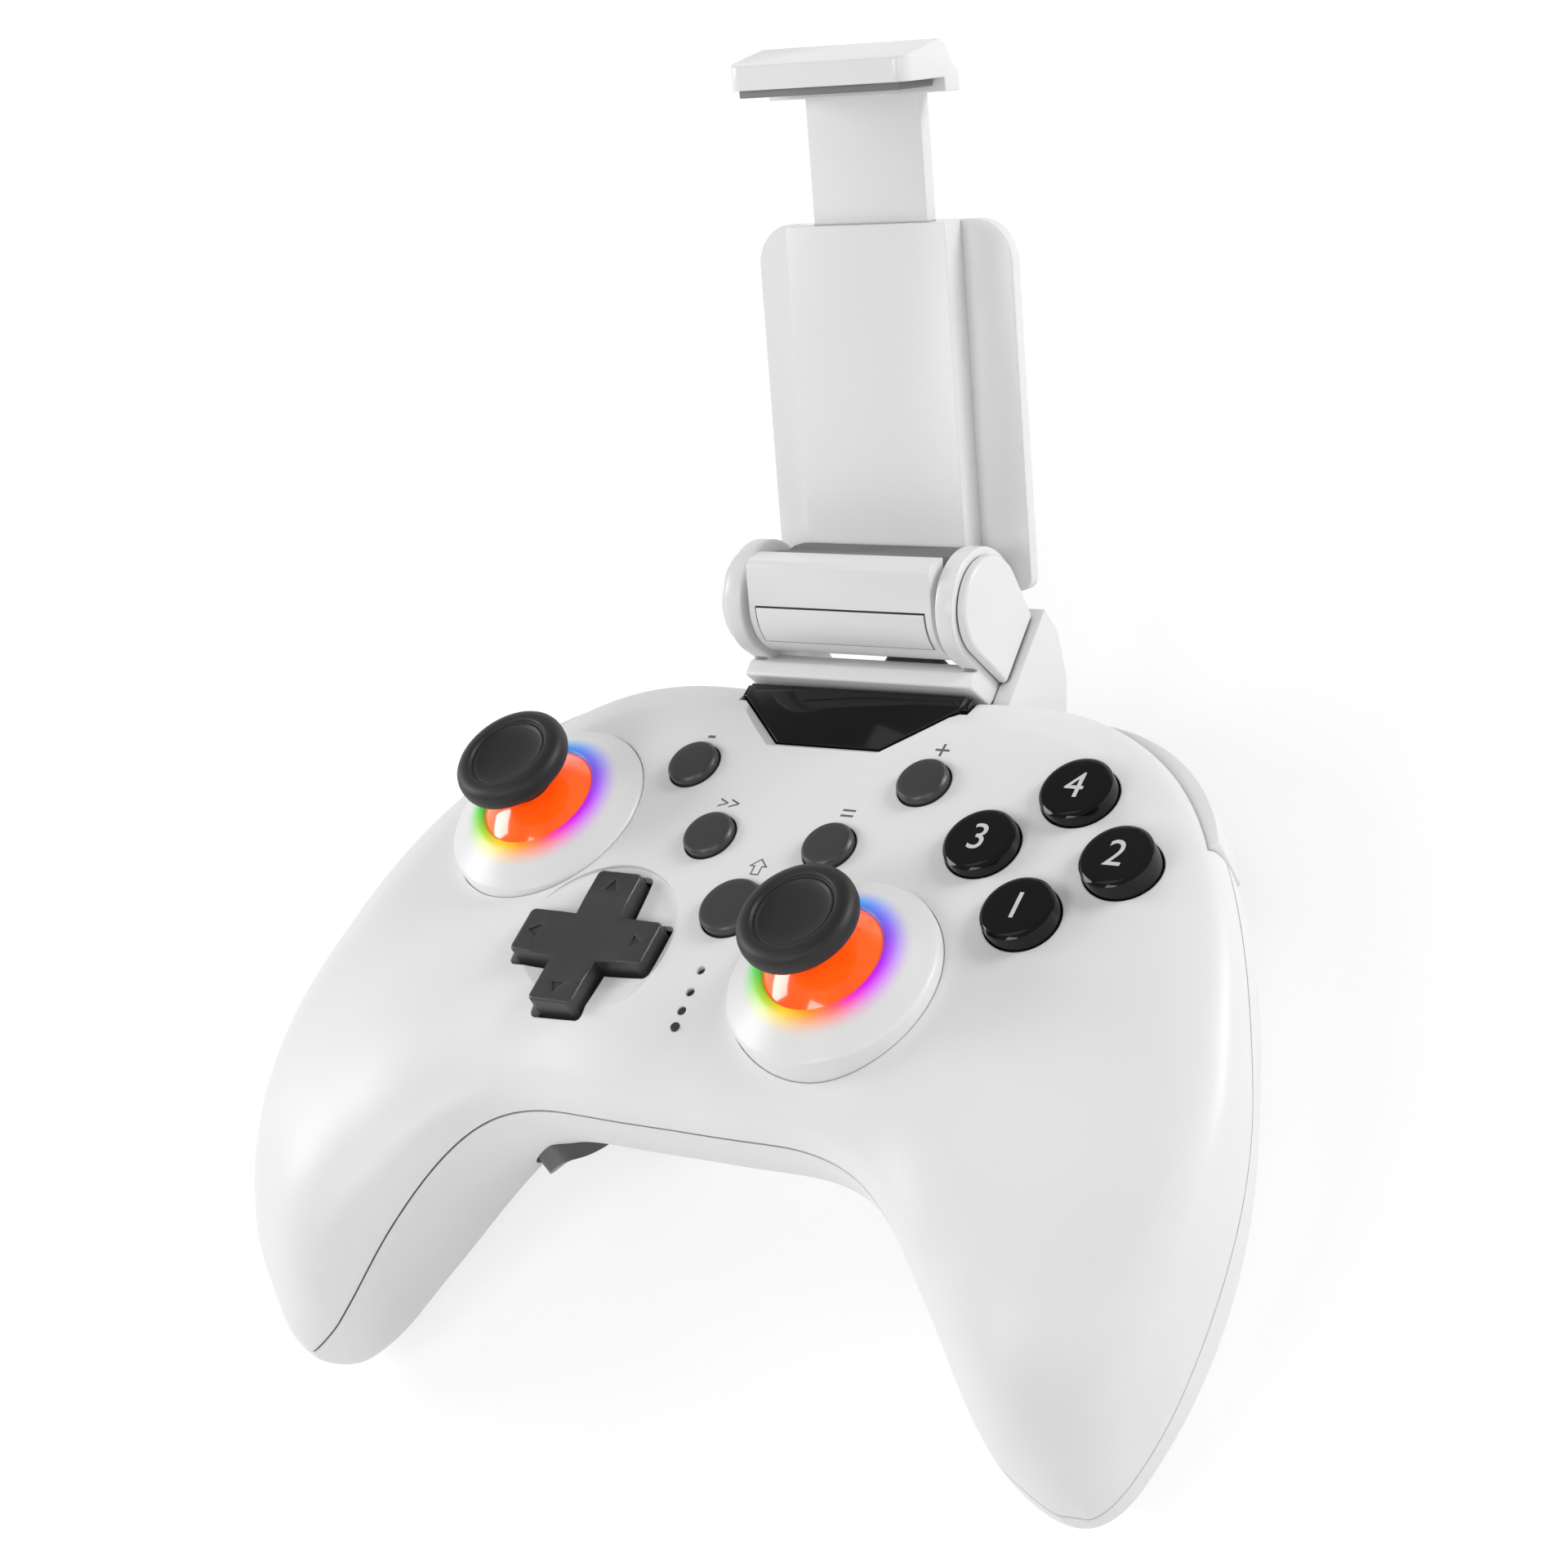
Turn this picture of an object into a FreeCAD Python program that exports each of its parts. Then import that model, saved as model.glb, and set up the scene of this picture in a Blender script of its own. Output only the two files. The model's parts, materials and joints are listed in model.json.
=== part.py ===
import FreeCAD
import Part
import math
import os

from FreeCAD import Vector

os.makedirs("parts", exist_ok=True)

# Wireless game controller with a tilting phone clamp, all sizes in mm.
# Everything is drawn in the face frame: x to the player's right, y away from the player, z out of
# the face, with z = 0 at the middle of the face. stand() then sets it on the table.

# Housing
half_width = 81.0
front_reach = 23.5
rear_reach = 51.0
grip_reach = 55.0
grip_depth = 50.0
belly_depth = 36.0
face_crown = 0.0005
wall = 2.2
seam_gap = 0.3
seam_level = 10.5
seam_turn = 30.0
seam_drop = 0.0208
seam_power = 1.8
boss_radius = 3.2
screw_radius = 1.25
screw_head_radius = 2.4
screw_head_height = 1.6
screw_grip = 9.0
screw_bite = 3.2

# Standing on the table
rest_tilt = 8.5
foot_flat = 0.4
belly_pad_y = 17.0
belly_pad_length = 36.0
belly_pad_width = 54.0
belly_pad_round = 9.0

# Thumb sticks
left_stick_x = -42.4
left_stick_y = 22.4
right_stick_x = 21.7
right_stick_y = -1.1
stick_pivot_depth = 8.0
stick_tilt = 14.0
stick_cap_radius = 8.9
stick_cap_height = 14.2
stick_cap_thickness = 4.0
stick_dish_radius = 5.6
stick_dish_depth = 0.9
stick_neck_radius = 4.2
stick_shaft_radius = 1.8
stick_tail_spare = 0.3
stick_press = 0.5
dome_radius = 14.6
dome_wall = 1.2
collar_radius = 15.9
collar_height = 3.9
collar_rim_radius = 10.4
collar_opening = 8.95
collar_play = 0.45
collar_flange = 0.8
collar_seat_depth = 5.1
light_board_width = 1.9
light_board_thickness = 1.2

yoke_half = 5.6
yoke_inner = 3.9
yoke_rise = 1.5
yoke_pin = 1.4
rocker_half_x = 3.0
rocker_half_y = 3.6
rocker_rise = 1.8
rocker_pin = 1.0

# Direction pad
dpad_x = -21.6
dpad_y = -0.4
dpad_span = 24.0
dpad_arm = 7.9
dpad_height = 1.4
dpad_play = 0.8
dpad_dish_radius = 14.2
dpad_dish_depth = 1.7
dpad_rim_depth = 0.6
dpad_flange_radius = 12.9
dpad_flange_drop = 5.2
dpad_flange_thickness = 1.2
dpad_ball_radius = 2.0
dpad_ball_depth = 8.2
dpad_tilt = 4.0
dpad_mark_size = 2.2
dpad_mark_depth = 0.3

# Push buttons
action_x = 45.2
action_y = 23.4
action_spacing = 10.7
action_radius = 5.5
action_height = 2.0
action_travel = 1.2
function_radius = 4.0
function_height = 1.4
function_travel = 0.6
home_radius = 4.9
select_x = 20.35
select_y = 33.2
turbo_x = 10.5
turbo_y = 20.2
home_y = 7.8
button_play = 0.25
button_bevel = 0.5
button_seat = 3.4
button_tab = 1.2
button_foot_depth = 9.6
lamp_radius = 0.65
lamp_places = (-3.0, -6.7, -9.75, -12.3)

# Boards and what stands on them
board_depth = 14.0
board_thickness = 1.6
board_side_inset = 29.0
board_front_inset = 11.5
board_rear_inset = 17.0
board_post_x = 40.0
usb_z = -14.0
membrane_thickness = 0.8
module_width = 17.0
module_wall = 1.75
pivot_play = 0.06
fit_gap = 0.3
motor_side_inset = 19.0
motor_grip_inset = 41.0
motor_rise = 23.0
motor_radius = 6.0
motor_length = 12.0
weight_radius = 7.5
weight_length = 4.5
battery_length = 42.0
battery_width = 27.0
battery_height = 7.5

# Notch and glossy panel at the middle of the rear edge
notch_front_inset = 11.7
notch_front_half = 9.2
notch_rear_inset = 3.2
notch_rear_half = 19.3
notch_bevel = 1.3
panel_drop = 1.0
panel_thickness = 2.6
panel_skirt_depth = 24.0

# Bumpers, triggers and rear paddles
bumper_top = 6.6
bumper_bottom = 16.2
bumper_inner_x = 36.0
bumper_side_inset = 15.0
bumper_rear_inset = 17.3
bumper_proud = 2.4
bumper_bulge = 1.4
bumper_relief_gap = 1.8
bumper_thickness = 4.3
bumper_gap = 0.4
bumper_pin_radius = 1.0
bumper_pin_inset = 2.4
trigger_side_inset = 39.0
trigger_rear_inset = 7.4
trigger_turn = 15.0
trigger_width = 22.0
trigger_reach = 8.0
trigger_top = 18.4
trigger_bottom = 30.6
trigger_pin_radius = 1.2
paddle_side_inset = 50.0
paddle_front_inset = 12.5
paddle_length = 22.0
paddle_width = 9.0
paddle_proud_pressed = 1.6
paddle_travel = 0.8

# Phone clamp, drawn upright and then leaned back from the face
clamp_lean = 36.5
clamp_setback = 8.4
clamp_z = 16.6
jaw_half = 16.2
barrel_radius = 8.0
barrel_drop = 7.0
hub_radius = 8.8
hinge_pin_radius = 2.0
rail_half = 10.0
rail_thickness = 2.4
rail_play = 0.15
rail_floor_gap = 7.0
rail_hold = 11.0
upper_jaw_half = 15.5
phone_gap = 66.8
phone_room = 8.8
jaw_slide_in = 13.0
jaw_slide_out = 17.0
spine_half = 14.0
back_plate_half = 22.3
arm_thickness = 3.0
bracket_wall = 2.8
bracket_length = 18.8
bracket_depth = 22.0
lock_knob_setback = 12.0
lock_knob_z = -10.5
lock_knob_length = 11.0

# Places that follow the housing
board_half = half_width - board_side_inset
board_front = board_front_inset - front_reach
board_rear = rear_reach - board_rear_inset
motor_x = half_width - motor_side_inset
motor_y = motor_grip_inset - grip_reach
motor_z = motor_rise - grip_depth
notch_front_y = rear_reach - notch_front_inset
notch_rear_y = rear_reach - notch_rear_inset
bumper_outer_x = half_width - bumper_side_inset
bumper_outer_y = rear_reach - bumper_rear_inset
trigger_x = half_width - trigger_side_inset
trigger_y = rear_reach - trigger_rear_inset
paddle_x = half_width - paddle_side_inset
paddle_y = paddle_front_inset - front_reach
clamp_y = rear_reach + clamp_setback
bracket_rear_y = rear_reach + bracket_length
lock_knob_y = rear_reach + lock_knob_setback


def block(x0, x1, y0, y1, z0, z1):
    return Part.makeBox(x1 - x0, y1 - y0, z1 - z0, Vector(x0, y0, z0))


def rod(radius, start, end):
    run = end - start
    return Part.makeCylinder(radius, run.Length, start, run)


def post(x, y, z0, z1, radius):
    return Part.makeCylinder(radius, z1 - z0, Vector(x, y, z0))


def prism(corners, z0, z1):
    points = [Vector(x, y, z0) for x, y in corners]
    face = Part.Face(Part.makePolygon(points + points[:1]))
    return face.extrude(Vector(0, 0, z1 - z0))


def side_plate(corners, x0, x1):
    """A flat plate in the y-z plane, from x0 to x1."""
    points = [Vector(x0, y, z) for y, z in corners]
    face = Part.Face(Part.makePolygon(points + points[:1]))
    return face.extrude(Vector(x1 - x0, 0, 0))


def turned(profile, x, y, z):
    """A closed outline of (radius, height) corners turned about an upright axis."""
    points = [Vector(r, 0, h) for r, h in profile]
    face = Part.Face(Part.makePolygon(points + points[:1]))
    solid = face.revolve(Vector(0, 0, 0), Vector(0, 0, 1), 360)
    solid.translate(Vector(x, y, z))
    return solid


def mirrored(shape):
    return shape.mirror(Vector(0, 0, 0), Vector(1, 0, 0))


def face_z(x):
    return -face_crown * x * x


# Housing shape. Each station is a section from an inner or front point to an outer or rear point,
# as shares of the housing's sizes: front x, y, z, rear x, y, z, top, bottom, then four roundings.
def stations():
    w = half_width
    f = front_reach
    r = rear_reach
    g = grip_reach
    d = grip_depth
    b = belly_depth
    rows = [
        ((0, -f, -0.36 * b), (0, r, -0.36 * b), 0, -b, 3.4, 6.0, 2.0, 3.4),
        ((0.15 * w, -f, -0.36 * b), (0.21 * w, 1.015 * r, -0.36 * b), -0.1, -b, 3.4, 6.0, 2.0, 3.4),
        ((0.26 * w, -f, -0.37 * b), (0.407 * w, 1.022 * r, -0.36 * b), -0.4, -b, 3.2, 6.0, 2.0, 2.6),
        ((0.346 * w, -1.04 * f, -0.38 * b), (0.577 * w, 0.953 * r, -0.36 * b), -0.9, -1.03 * b, 3.0, 5.2, 2.1, 2.1),
        ((0.42 * w, -0.49 * g, -0.30 * d), (0.722 * w, 0.788 * r, -0.25 * d), -1.8, -0.80 * d, 2.8, 4.2, 2.2, 1.8),
        ((0.485 * w, -0.567 * g, -0.34 * d), (0.843 * w, 0.547 * r, -0.26 * d), -3.1, -0.86 * d, 2.7, 3.7, 2.4, 1.7),
        ((0.543 * w, -0.662 * g, -0.40 * d), (0.935 * w, 0.24 * r, -0.30 * d), -5.2, -0.92 * d, 2.6, 3.4, 2.5, 1.65),
        ((0.595 * w, -0.756 * g, -0.48 * d), (0.992 * w, -0.082 * g, -0.36 * d), -8.2, -0.965 * d, 2.5, 3.4, 2.5, 1.65),
        ((0.635 * w, -0.836 * g, -0.56 * d), (1.0 * w, -0.373 * g, -0.44 * d), -11.6, -0.99 * d, 2.4, 3.6, 2.4, 1.7),
        ((0.674 * w, -0.905 * g, -0.64 * d), (0.973 * w, -0.627 * g, -0.54 * d), -16.6, -0.985 * d, 2.3, 3.2, 2.3, 1.7),
        ((0.71 * w, -0.95 * g, -0.68 * d), (0.935 * w, -0.79 * g, -0.63 * d), -22.0, -0.965 * d, 2.2, 2.8, 2.2, 1.8),
        ((0.745 * w, -0.975 * g, -0.725 * d), (0.905 * w, -0.88 * g, -0.70 * d), -27.5, -0.93 * d, 2.1, 2.3, 2.1, 1.8),
        ((0.777 * w, -0.989 * g, -0.755 * d), (0.877 * w, -0.94 * g, -0.745 * d), -32.2, -0.88 * d, 2.0, 2.0, 2.0, 2.0),
        ((0.805 * w, -0.995 * g, -0.775 * d), (0.85 * w, -0.975 * g, -0.77 * d), -36.2, -0.83 * d, 2.0, 2.0, 2.0, 2.0),
    ]
    return rows


def mirror_row(row):
    front, rear = row[0], row[1]
    return ((-front[0], front[1], front[2]), (-rear[0], rear[1], rear[2])) + tuple(row[2:])


def section_curve(front, rear, extreme, front_round, rear_round, inset):
    """Half a section, from its front point over the top or under the bottom to its rear point."""
    steps = 10
    along = Vector(rear[0] - front[0], rear[1] - front[1], 0)
    along.normalize()
    start = Vector(*front) + along * inset
    end = Vector(*rear) - along * inset
    upward = extreme > front[2]
    peak = extreme - inset if upward else extreme + inset
    length = Vector(end.x - start.x, end.y - start.y, 0).Length
    points = []
    for k in range(steps + 1):
        angle = math.pi * k / steps
        power = front_round if 2 * k <= steps else rear_round
        cosine = math.cos(angle)
        sine = abs(math.sin(angle))
        share = 0.5 - 0.5 * math.copysign(abs(cosine) ** (2 / power), cosine)
        base = start.z + (end.z - start.z) * share
        height = 0.0 if sine < 1e-9 else sine ** (2 / power)
        spot = start + along * (length * share)
        points.append(Vector(spot.x, spot.y, base + (peak - base) * height))
    curve = Part.BSplineCurve()
    curve.interpolate(Points=points, Parameters=[k / steps for k in range(steps + 1)])
    return curve.toShape()


def section(row, inset):
    front, rear, top, bottom, top_front, top_rear, under_front, under_rear = row
    over = section_curve(front, rear, top, top_front, top_rear, inset)
    under = section_curve(front, rear, bottom, under_front, under_rear, inset)
    return Part.Wire([over, under])


hulls = {}


def hull(inset):
    """The outside of the housing drawn in by inset. Drawn in, it stops short of the grip ends."""
    if inset not in hulls:
        half = stations()
        if inset > 0:
            half = half[:-2]
        rows = [mirror_row(row) for row in reversed(half[1:])] + half
        hulls[inset] = Part.makeLoft([section(row, inset) for row in rows], True, False)
    return hulls[inset]


# The parting line of the two shells runs level along the body and drops along the grips.
def seam_z(x, y):
    v = (abs(x) - y) / math.sqrt(2)
    return -seam_level - seam_drop * max(0.0, v - seam_turn) ** seam_power


def seam_block(lift):
    """Everything below the parting line raised by lift."""
    root2 = math.sqrt(2)
    far = 2 * half_width

    def spot(v, z):
        return Vector(v / root2, -v / root2, z)

    points = []
    for k in range(11):
        v = seam_turn + 0.1 * k * far / 2
        points.append(spot(v, seam_z(v * root2, 0) + lift))
    bend = Part.BSplineCurve()
    bend.interpolate(points)
    start = spot(-far, points[0].z)
    deep = -2.5 * grip_depth
    edges = [
        Part.makeLine(start, points[0]),
        bend.toShape(),
        Part.makeLine(points[-1], spot(points[-1].x * root2, deep)),
        Part.makeLine(spot(points[-1].x * root2, deep), spot(-far, deep)),
        Part.makeLine(spot(-far, deep), start),
    ]
    face = Part.Face(Part.Wire(edges))
    run = Vector(1, 1, 0) * far
    face.translate(run * -0.5)
    side = face.extrude(run)
    right = side.common(block(0, far, -far, far, deep, far))
    return right.fuse(mirrored(right))


# Standing: the rear goes down by rest_tilt and the origin lies on the table under the belly pad.
def tilted(shape, angle):
    result = shape.copy()
    result.rotate(Vector(0, 0, 0), Vector(1, 0, 0), angle)
    return result


def lowest_point():
    points, triangles = tilted(hull(0), -rest_tilt).tessellate(0.05)
    return min(point.z for point in points)


table_z = lowest_point() + foot_flat
lean = math.radians(rest_tilt)
belly_face_z = (table_z + belly_pad_y * math.sin(lean)) / math.cos(lean)
origin_y = belly_pad_y * math.cos(lean) + belly_face_z * math.sin(lean)


def stand(shape):
    result = tilted(shape, -rest_tilt)
    result.translate(Vector(0, -origin_y, -table_z))
    return result


def unstand(shape):
    result = shape.copy()
    result.translate(Vector(0, origin_y, table_z))
    return tilted(result, rest_tilt)


def round_box(length, width, z0, z1, corner):
    """A box about the upright axis with rounded upright edges."""
    box = block(-length / 2, length / 2, -width / 2, width / 2, z0, z1)
    upright = [e for e in box.Edges if abs(e.tangentAt(e.FirstParameter).z) > 0.99]
    return box.makeFillet(corner, upright)


def belly_pad(inset):
    """The flat-bottomed swelling under the body that holds the battery and stands on the table."""
    pad = round_box(
        belly_pad_width - 2 * inset,
        belly_pad_length - 2 * inset,
        -2 * grip_depth,
        -0.55 * belly_depth,
        belly_pad_round - inset,
    )
    pad.translate(Vector(0, belly_pad_y, 0))
    reach = 2 * half_width
    below = unstand(block(-reach, reach, -reach, reach, -reach, inset))
    return pad.cut(below)


screw_places = (
    (0.0, -front_reach + 6.0),
    (half_width - 19.0, 8.5),
    (half_width - 17.0, -0.66 * grip_reach),
    (-half_width + 19.0, 8.5),
    (-half_width + 17.0, -0.66 * grip_reach),
)


def screw_bosses(upper):
    bosses = []
    for x, y in screw_places:
        seam = seam_z(x, y)
        if upper:
            bosses.append(post(x, y, seam + seam_gap / 2, 5.0, boss_radius))
        else:
            bosses.append(post(x, y, -2 * grip_depth, seam - seam_gap / 2, boss_radius))
    return Part.makeCompound(bosses).common(hull(wall / 2))


def screw_holes():
    holes = []
    for x, y in screw_places:
        seam = seam_z(x, y)
        seat = seam - screw_grip
        holes.append(post(x, y, seat - 0.1, seam + screw_bite + 0.3, screw_radius + 0.1))
        holes.append(post(x, y, -2 * grip_depth, seat, screw_head_radius + 0.3))
    return holes


def housing_screws():
    screws = []
    for x, y in screw_places:
        seam = seam_z(x, y)
        seat = seam - screw_grip
        shank = post(x, y, seat - 0.05, seam + screw_bite, screw_radius)
        head = post(x, y, seat - 0.05 - screw_head_height, seat - 0.05, screw_head_radius)
        slot = block(x - 1.6, x + 1.6, y - 0.3, y + 0.3, seat - 3.0, seat - screw_head_height + 0.6)
        cross = block(x - 0.3, x + 0.3, y - 1.6, y + 1.6, seat - 3.0, seat - screw_head_height + 0.6)
        screws.append(shank.fuse(head).cut(slot).cut(cross))
    return Part.makeCompound(screws)


# Push buttons: name, x, y, radius, height over the face, travel
def button_places():
    d = action_spacing
    places = {
        "action_button_1": (action_x, action_y - d, action_radius, action_height, action_travel),
        "action_button_2": (action_x + d, action_y, action_radius, action_height, action_travel),
        "action_button_3": (action_x - d, action_y, action_radius, action_height, action_travel),
        "action_button_4": (action_x, action_y + d, action_radius, action_height, action_travel),
    }
    small = (function_radius, function_height, function_travel)
    places["select_button"] = (-select_x, select_y) + small
    places["start_button"] = (select_x, select_y) + small
    places["turbo_button"] = (-turbo_x, turbo_y) + small
    places["macro_button"] = (turbo_x, turbo_y) + small
    places["home_button"] = (0.0, home_y, home_radius, function_height, function_travel)
    return places


def button_seat_z(x):
    return face_z(x) - button_seat


def push_button(x, y, radius, height, travel):
    top = face_z(x) + height
    under = button_seat_z(x) - fit_gap
    cap = post(x, y, under - button_tab, top, radius)
    rim = [e for e in cap.Edges if abs(e.CenterOfMass.z - top) < 0.01]
    cap = cap.makeFillet(button_bevel, rim)
    tab = block(x - 1.6, x + 1.6, y - radius - 1.1, y + radius + 1.1, under - button_tab, under)
    foot = post(x, y, -button_foot_depth, under - button_tab + 0.2, 0.45 * radius)
    return cap.fuse(tab).fuse(foot)


def button_sleeves():
    sleeves = []
    for x, y, radius, height, travel in button_places().values():
        sleeves.append(post(x, y, button_seat_z(x), 5.0, radius + 1.2))
    return sleeves


def button_holes():
    holes = []
    for x, y, radius, height, travel in button_places().values():
        holes.append(post(x, y, button_seat_z(x) - 8.0, 5.0, radius + button_play))
    return holes


def membrane(names, x0, x1, y0, y1):
    """A rubber sheet on the board with a dome under each named button."""
    places = button_places()
    floor = -board_depth
    sheet = block(x0, x1, y0, y1, floor, floor + membrane_thickness)
    domes = []
    for name in names:
        x, y, radius, height, travel = places[name]
        top = -button_foot_depth - travel - fit_gap
        domes.append(post(x, y, floor, top, 0.5 * radius))
    return sheet.multiFuse(domes)


def action_membrane():
    names = [name for name in button_places() if name.startswith("action")]
    reach = action_spacing + 0.55 * action_radius
    diamond = [(action_x - reach - 2, action_y), (action_x, action_y - reach - 2)]
    diamond += [(action_x + reach + 2, action_y), (action_x, action_y + reach + 2)]
    sheet = membrane(names, action_x - reach, action_x + reach, action_y - reach, action_y + reach)
    return sheet.common(prism(diamond, -board_depth, 0))


def function_membrane():
    upper = membrane(
        ("select_button", "start_button"),
        -select_x - 3, select_x + 3, select_y - 2.6, select_y + 2.6,
    )
    lower = membrane(
        ("turbo_button", "macro_button"),
        -turbo_x - 3, turbo_x + 3, turbo_y - 2.6, turbo_y + 2.6,
    )
    middle = membrane(("home_button",), -2.6, 2.6, home_y - 3, home_y + 3)
    link = block(-2.6, 2.6, home_y, select_y, -board_depth, -board_depth + membrane_thickness)
    return upper.multiFuse([lower, middle, link])


# Direction pad: a cross on a round flange that rocks both ways on a ball
def cross_shape(span, arm, z0, z1, corner):
    bars = block(-span / 2, span / 2, -arm / 2, arm / 2, z0, z1)
    bars = bars.fuse(block(-arm / 2, arm / 2, -span / 2, span / 2, z0, z1)).removeSplitter()
    outer = [
        e for e in bars.Edges
        if abs(e.tangentAt(e.FirstParameter).z) > 0.99 and math.hypot(e.CenterOfMass.x, e.CenterOfMass.y) > arm
    ]
    return bars.makeFillet(corner, outer)


def dpad_mark(angle):
    """An engraved triangle on one arm that points outwards."""
    tip = dpad_span / 2 - 1.6
    size = dpad_mark_size
    top = face_z(dpad_x) + dpad_height
    corners = [(tip, 0), (tip - 1.7 * size / 2, size / 2), (tip - 1.7 * size / 2, -size / 2)]
    mark = prism(corners, top - dpad_mark_depth, top + 1)
    mark.rotate(Vector(0, 0, 0), Vector(0, 0, 1), angle)
    return mark


def dpad_pivot():
    return Vector(dpad_x, dpad_y, -dpad_ball_depth)


def d_pad():
    top = face_z(dpad_x) + dpad_height
    flange_top = face_z(dpad_x) - dpad_flange_drop
    cross = cross_shape(dpad_span, dpad_arm, flange_top - 0.5, top, 1.0)
    rims = [e for e in cross.Edges if abs(e.CenterOfMass.z - top) < 0.01]
    cross = cross.makeFillet(0.5, rims)
    dish = Part.makeSphere(60.0, Vector(0, 0, top + 60.0 - 0.7))
    cross = cross.cut(dish)
    cross = cross.cut([dpad_mark(90.0 * k) for k in range(4)])
    flange = post(0, 0, flange_top - dpad_flange_thickness, flange_top, dpad_flange_radius)
    boss = post(0, 0, -dpad_ball_depth + 0.3, flange_top - 0.4, dpad_ball_radius + 1.2)
    pad = cross.fuse(flange).fuse(boss)
    pad.translate(Vector(dpad_x, dpad_y, 0))
    socket = Part.makeSphere(dpad_ball_radius + pivot_play, dpad_pivot())
    return pad.cut(socket)


def dpad_ball():
    return Part.makeSphere(dpad_ball_radius, dpad_pivot())


def dpad_post():
    pillar = post(dpad_x, dpad_y, -board_depth, -dpad_ball_depth - 0.4, dpad_ball_radius + 1.2)
    return pillar.cut(Part.makeSphere(dpad_ball_radius + pivot_play, dpad_pivot()))


def dpad_membrane():
    floor = -board_depth
    sheet = post(dpad_x, dpad_y, floor, floor + membrane_thickness, dpad_flange_radius - 1.0)
    sheet = sheet.cut(post(dpad_x, dpad_y, floor - 1, floor + 2, dpad_ball_radius + 1.5))
    rise = face_z(dpad_x) - dpad_flange_drop - dpad_flange_thickness
    reach = dpad_span / 2 - 3.0
    dome_top = rise - (reach + 2.4) * math.sin(math.radians(1.5 * dpad_tilt)) - fit_gap
    domes = []
    for k in range(4):
        angle = math.radians(90 * k)
        x = dpad_x + reach * math.cos(angle)
        y = dpad_y + reach * math.sin(angle)
        domes.append(post(x, y, floor, dome_top, 2.4))
    return sheet.multiFuse(domes)


def dpad_dish():
    """The shallow bowl in the face around the cross."""
    bottom = face_z(dpad_x) - dpad_dish_depth
    rise = dpad_dish_depth - dpad_rim_depth
    curve = (dpad_dish_radius ** 2 + rise ** 2) / (2 * rise)
    bowl = Part.makeSphere(curve, Vector(dpad_x, dpad_y, bottom + curve))
    return bowl.common(post(dpad_x, dpad_y, bottom - 1.0, face_z(dpad_x) + 3.0, dpad_dish_radius))


def dpad_opening():
    clear = 2 * dpad_play
    hole = cross_shape(dpad_span + clear, dpad_arm + clear, -8.0, 5.0, 1.0)
    hole.translate(Vector(dpad_x, dpad_y, 0))
    return hole


# Thumb sticks: a stick slides in a rocker, which tilts in a yoke, which tilts in the module's box
def stick_pivot_x(side):
    return left_stick_x if side == "left" else right_stick_x


def stick_pivot(side):
    """The point that a stick tilts about."""
    y = left_stick_y if side == "left" else right_stick_y
    return Vector(stick_pivot_x(side), y, stick_lift(side) - stick_pivot_depth)


def stick_lift(side):
    """The sticks stand on the face, which falls away towards the sides."""
    return face_z(stick_pivot_x(side)) - face_z(right_stick_x)


def collar_seat_z(side):
    """The height of the flat ring under the face that the collar's flange lies on."""
    return stick_lift(side) - collar_seat_depth


def placed(shape, side):
    """Put a shape that is drawn round the upright axis at a stick."""
    pivot = stick_pivot(side)
    shape.translate(Vector(pivot.x, pivot.y, 0))
    return shape


def lifted(shape, side):
    """The same for a shape that is drawn at the height of the right stick."""
    shape.translate(Vector(0, 0, stick_lift(side)))
    return placed(shape, side)


def stick_module(side):
    half = module_width / 2
    inner = half - module_wall
    low = -board_depth
    z = stick_pivot(side).z
    box = block(-half, half, -half, half, low, z + 4.0)
    box = box.cut(block(-inner, inner, -inner, inner, low + 1.0, z + 5.0))
    bore = rod(yoke_pin + pivot_play, Vector(-half - 1, 0, z), Vector(half + 1, 0, z))
    return placed(box.cut(bore), side)


def stick_yoke(side):
    z = -stick_pivot_depth
    half = module_width / 2
    ring = block(-yoke_half, yoke_half, -yoke_half, yoke_half, z - yoke_rise, z + yoke_rise)
    ring = ring.cut(block(-yoke_inner, yoke_inner, -yoke_inner, yoke_inner, z - 2, z + 2))
    pins = [
        rod(yoke_pin, Vector(yoke_half - 1, 0, z), Vector(half, 0, z)),
        rod(yoke_pin, Vector(-half, 0, z), Vector(-yoke_half + 1, 0, z)),
    ]
    ring = ring.multiFuse(pins)
    bore = rod(rocker_pin + pivot_play, Vector(0, -yoke_half - 1, z), Vector(0, yoke_half + 1, z))
    return lifted(ring.cut(bore), side)


def stick_rocker(side):
    z = -stick_pivot_depth
    hub = block(
        -rocker_half_x, rocker_half_x, -rocker_half_y, rocker_half_y, z - rocker_rise, z + rocker_rise
    )
    hub = hub.fuse(rod(rocker_pin, Vector(0, -yoke_half, z), Vector(0, yoke_half, z)))
    return lifted(hub.cut(post(0, 0, z - 3, z + 3, stick_shaft_radius + pivot_play)), side)


def skirt_spread():
    """The angle that the skirt reaches out from the stick, so that it still closes the opening tilted."""
    return math.asin(collar_opening / dome_radius) + math.radians(1.45 * stick_tilt)


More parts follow.
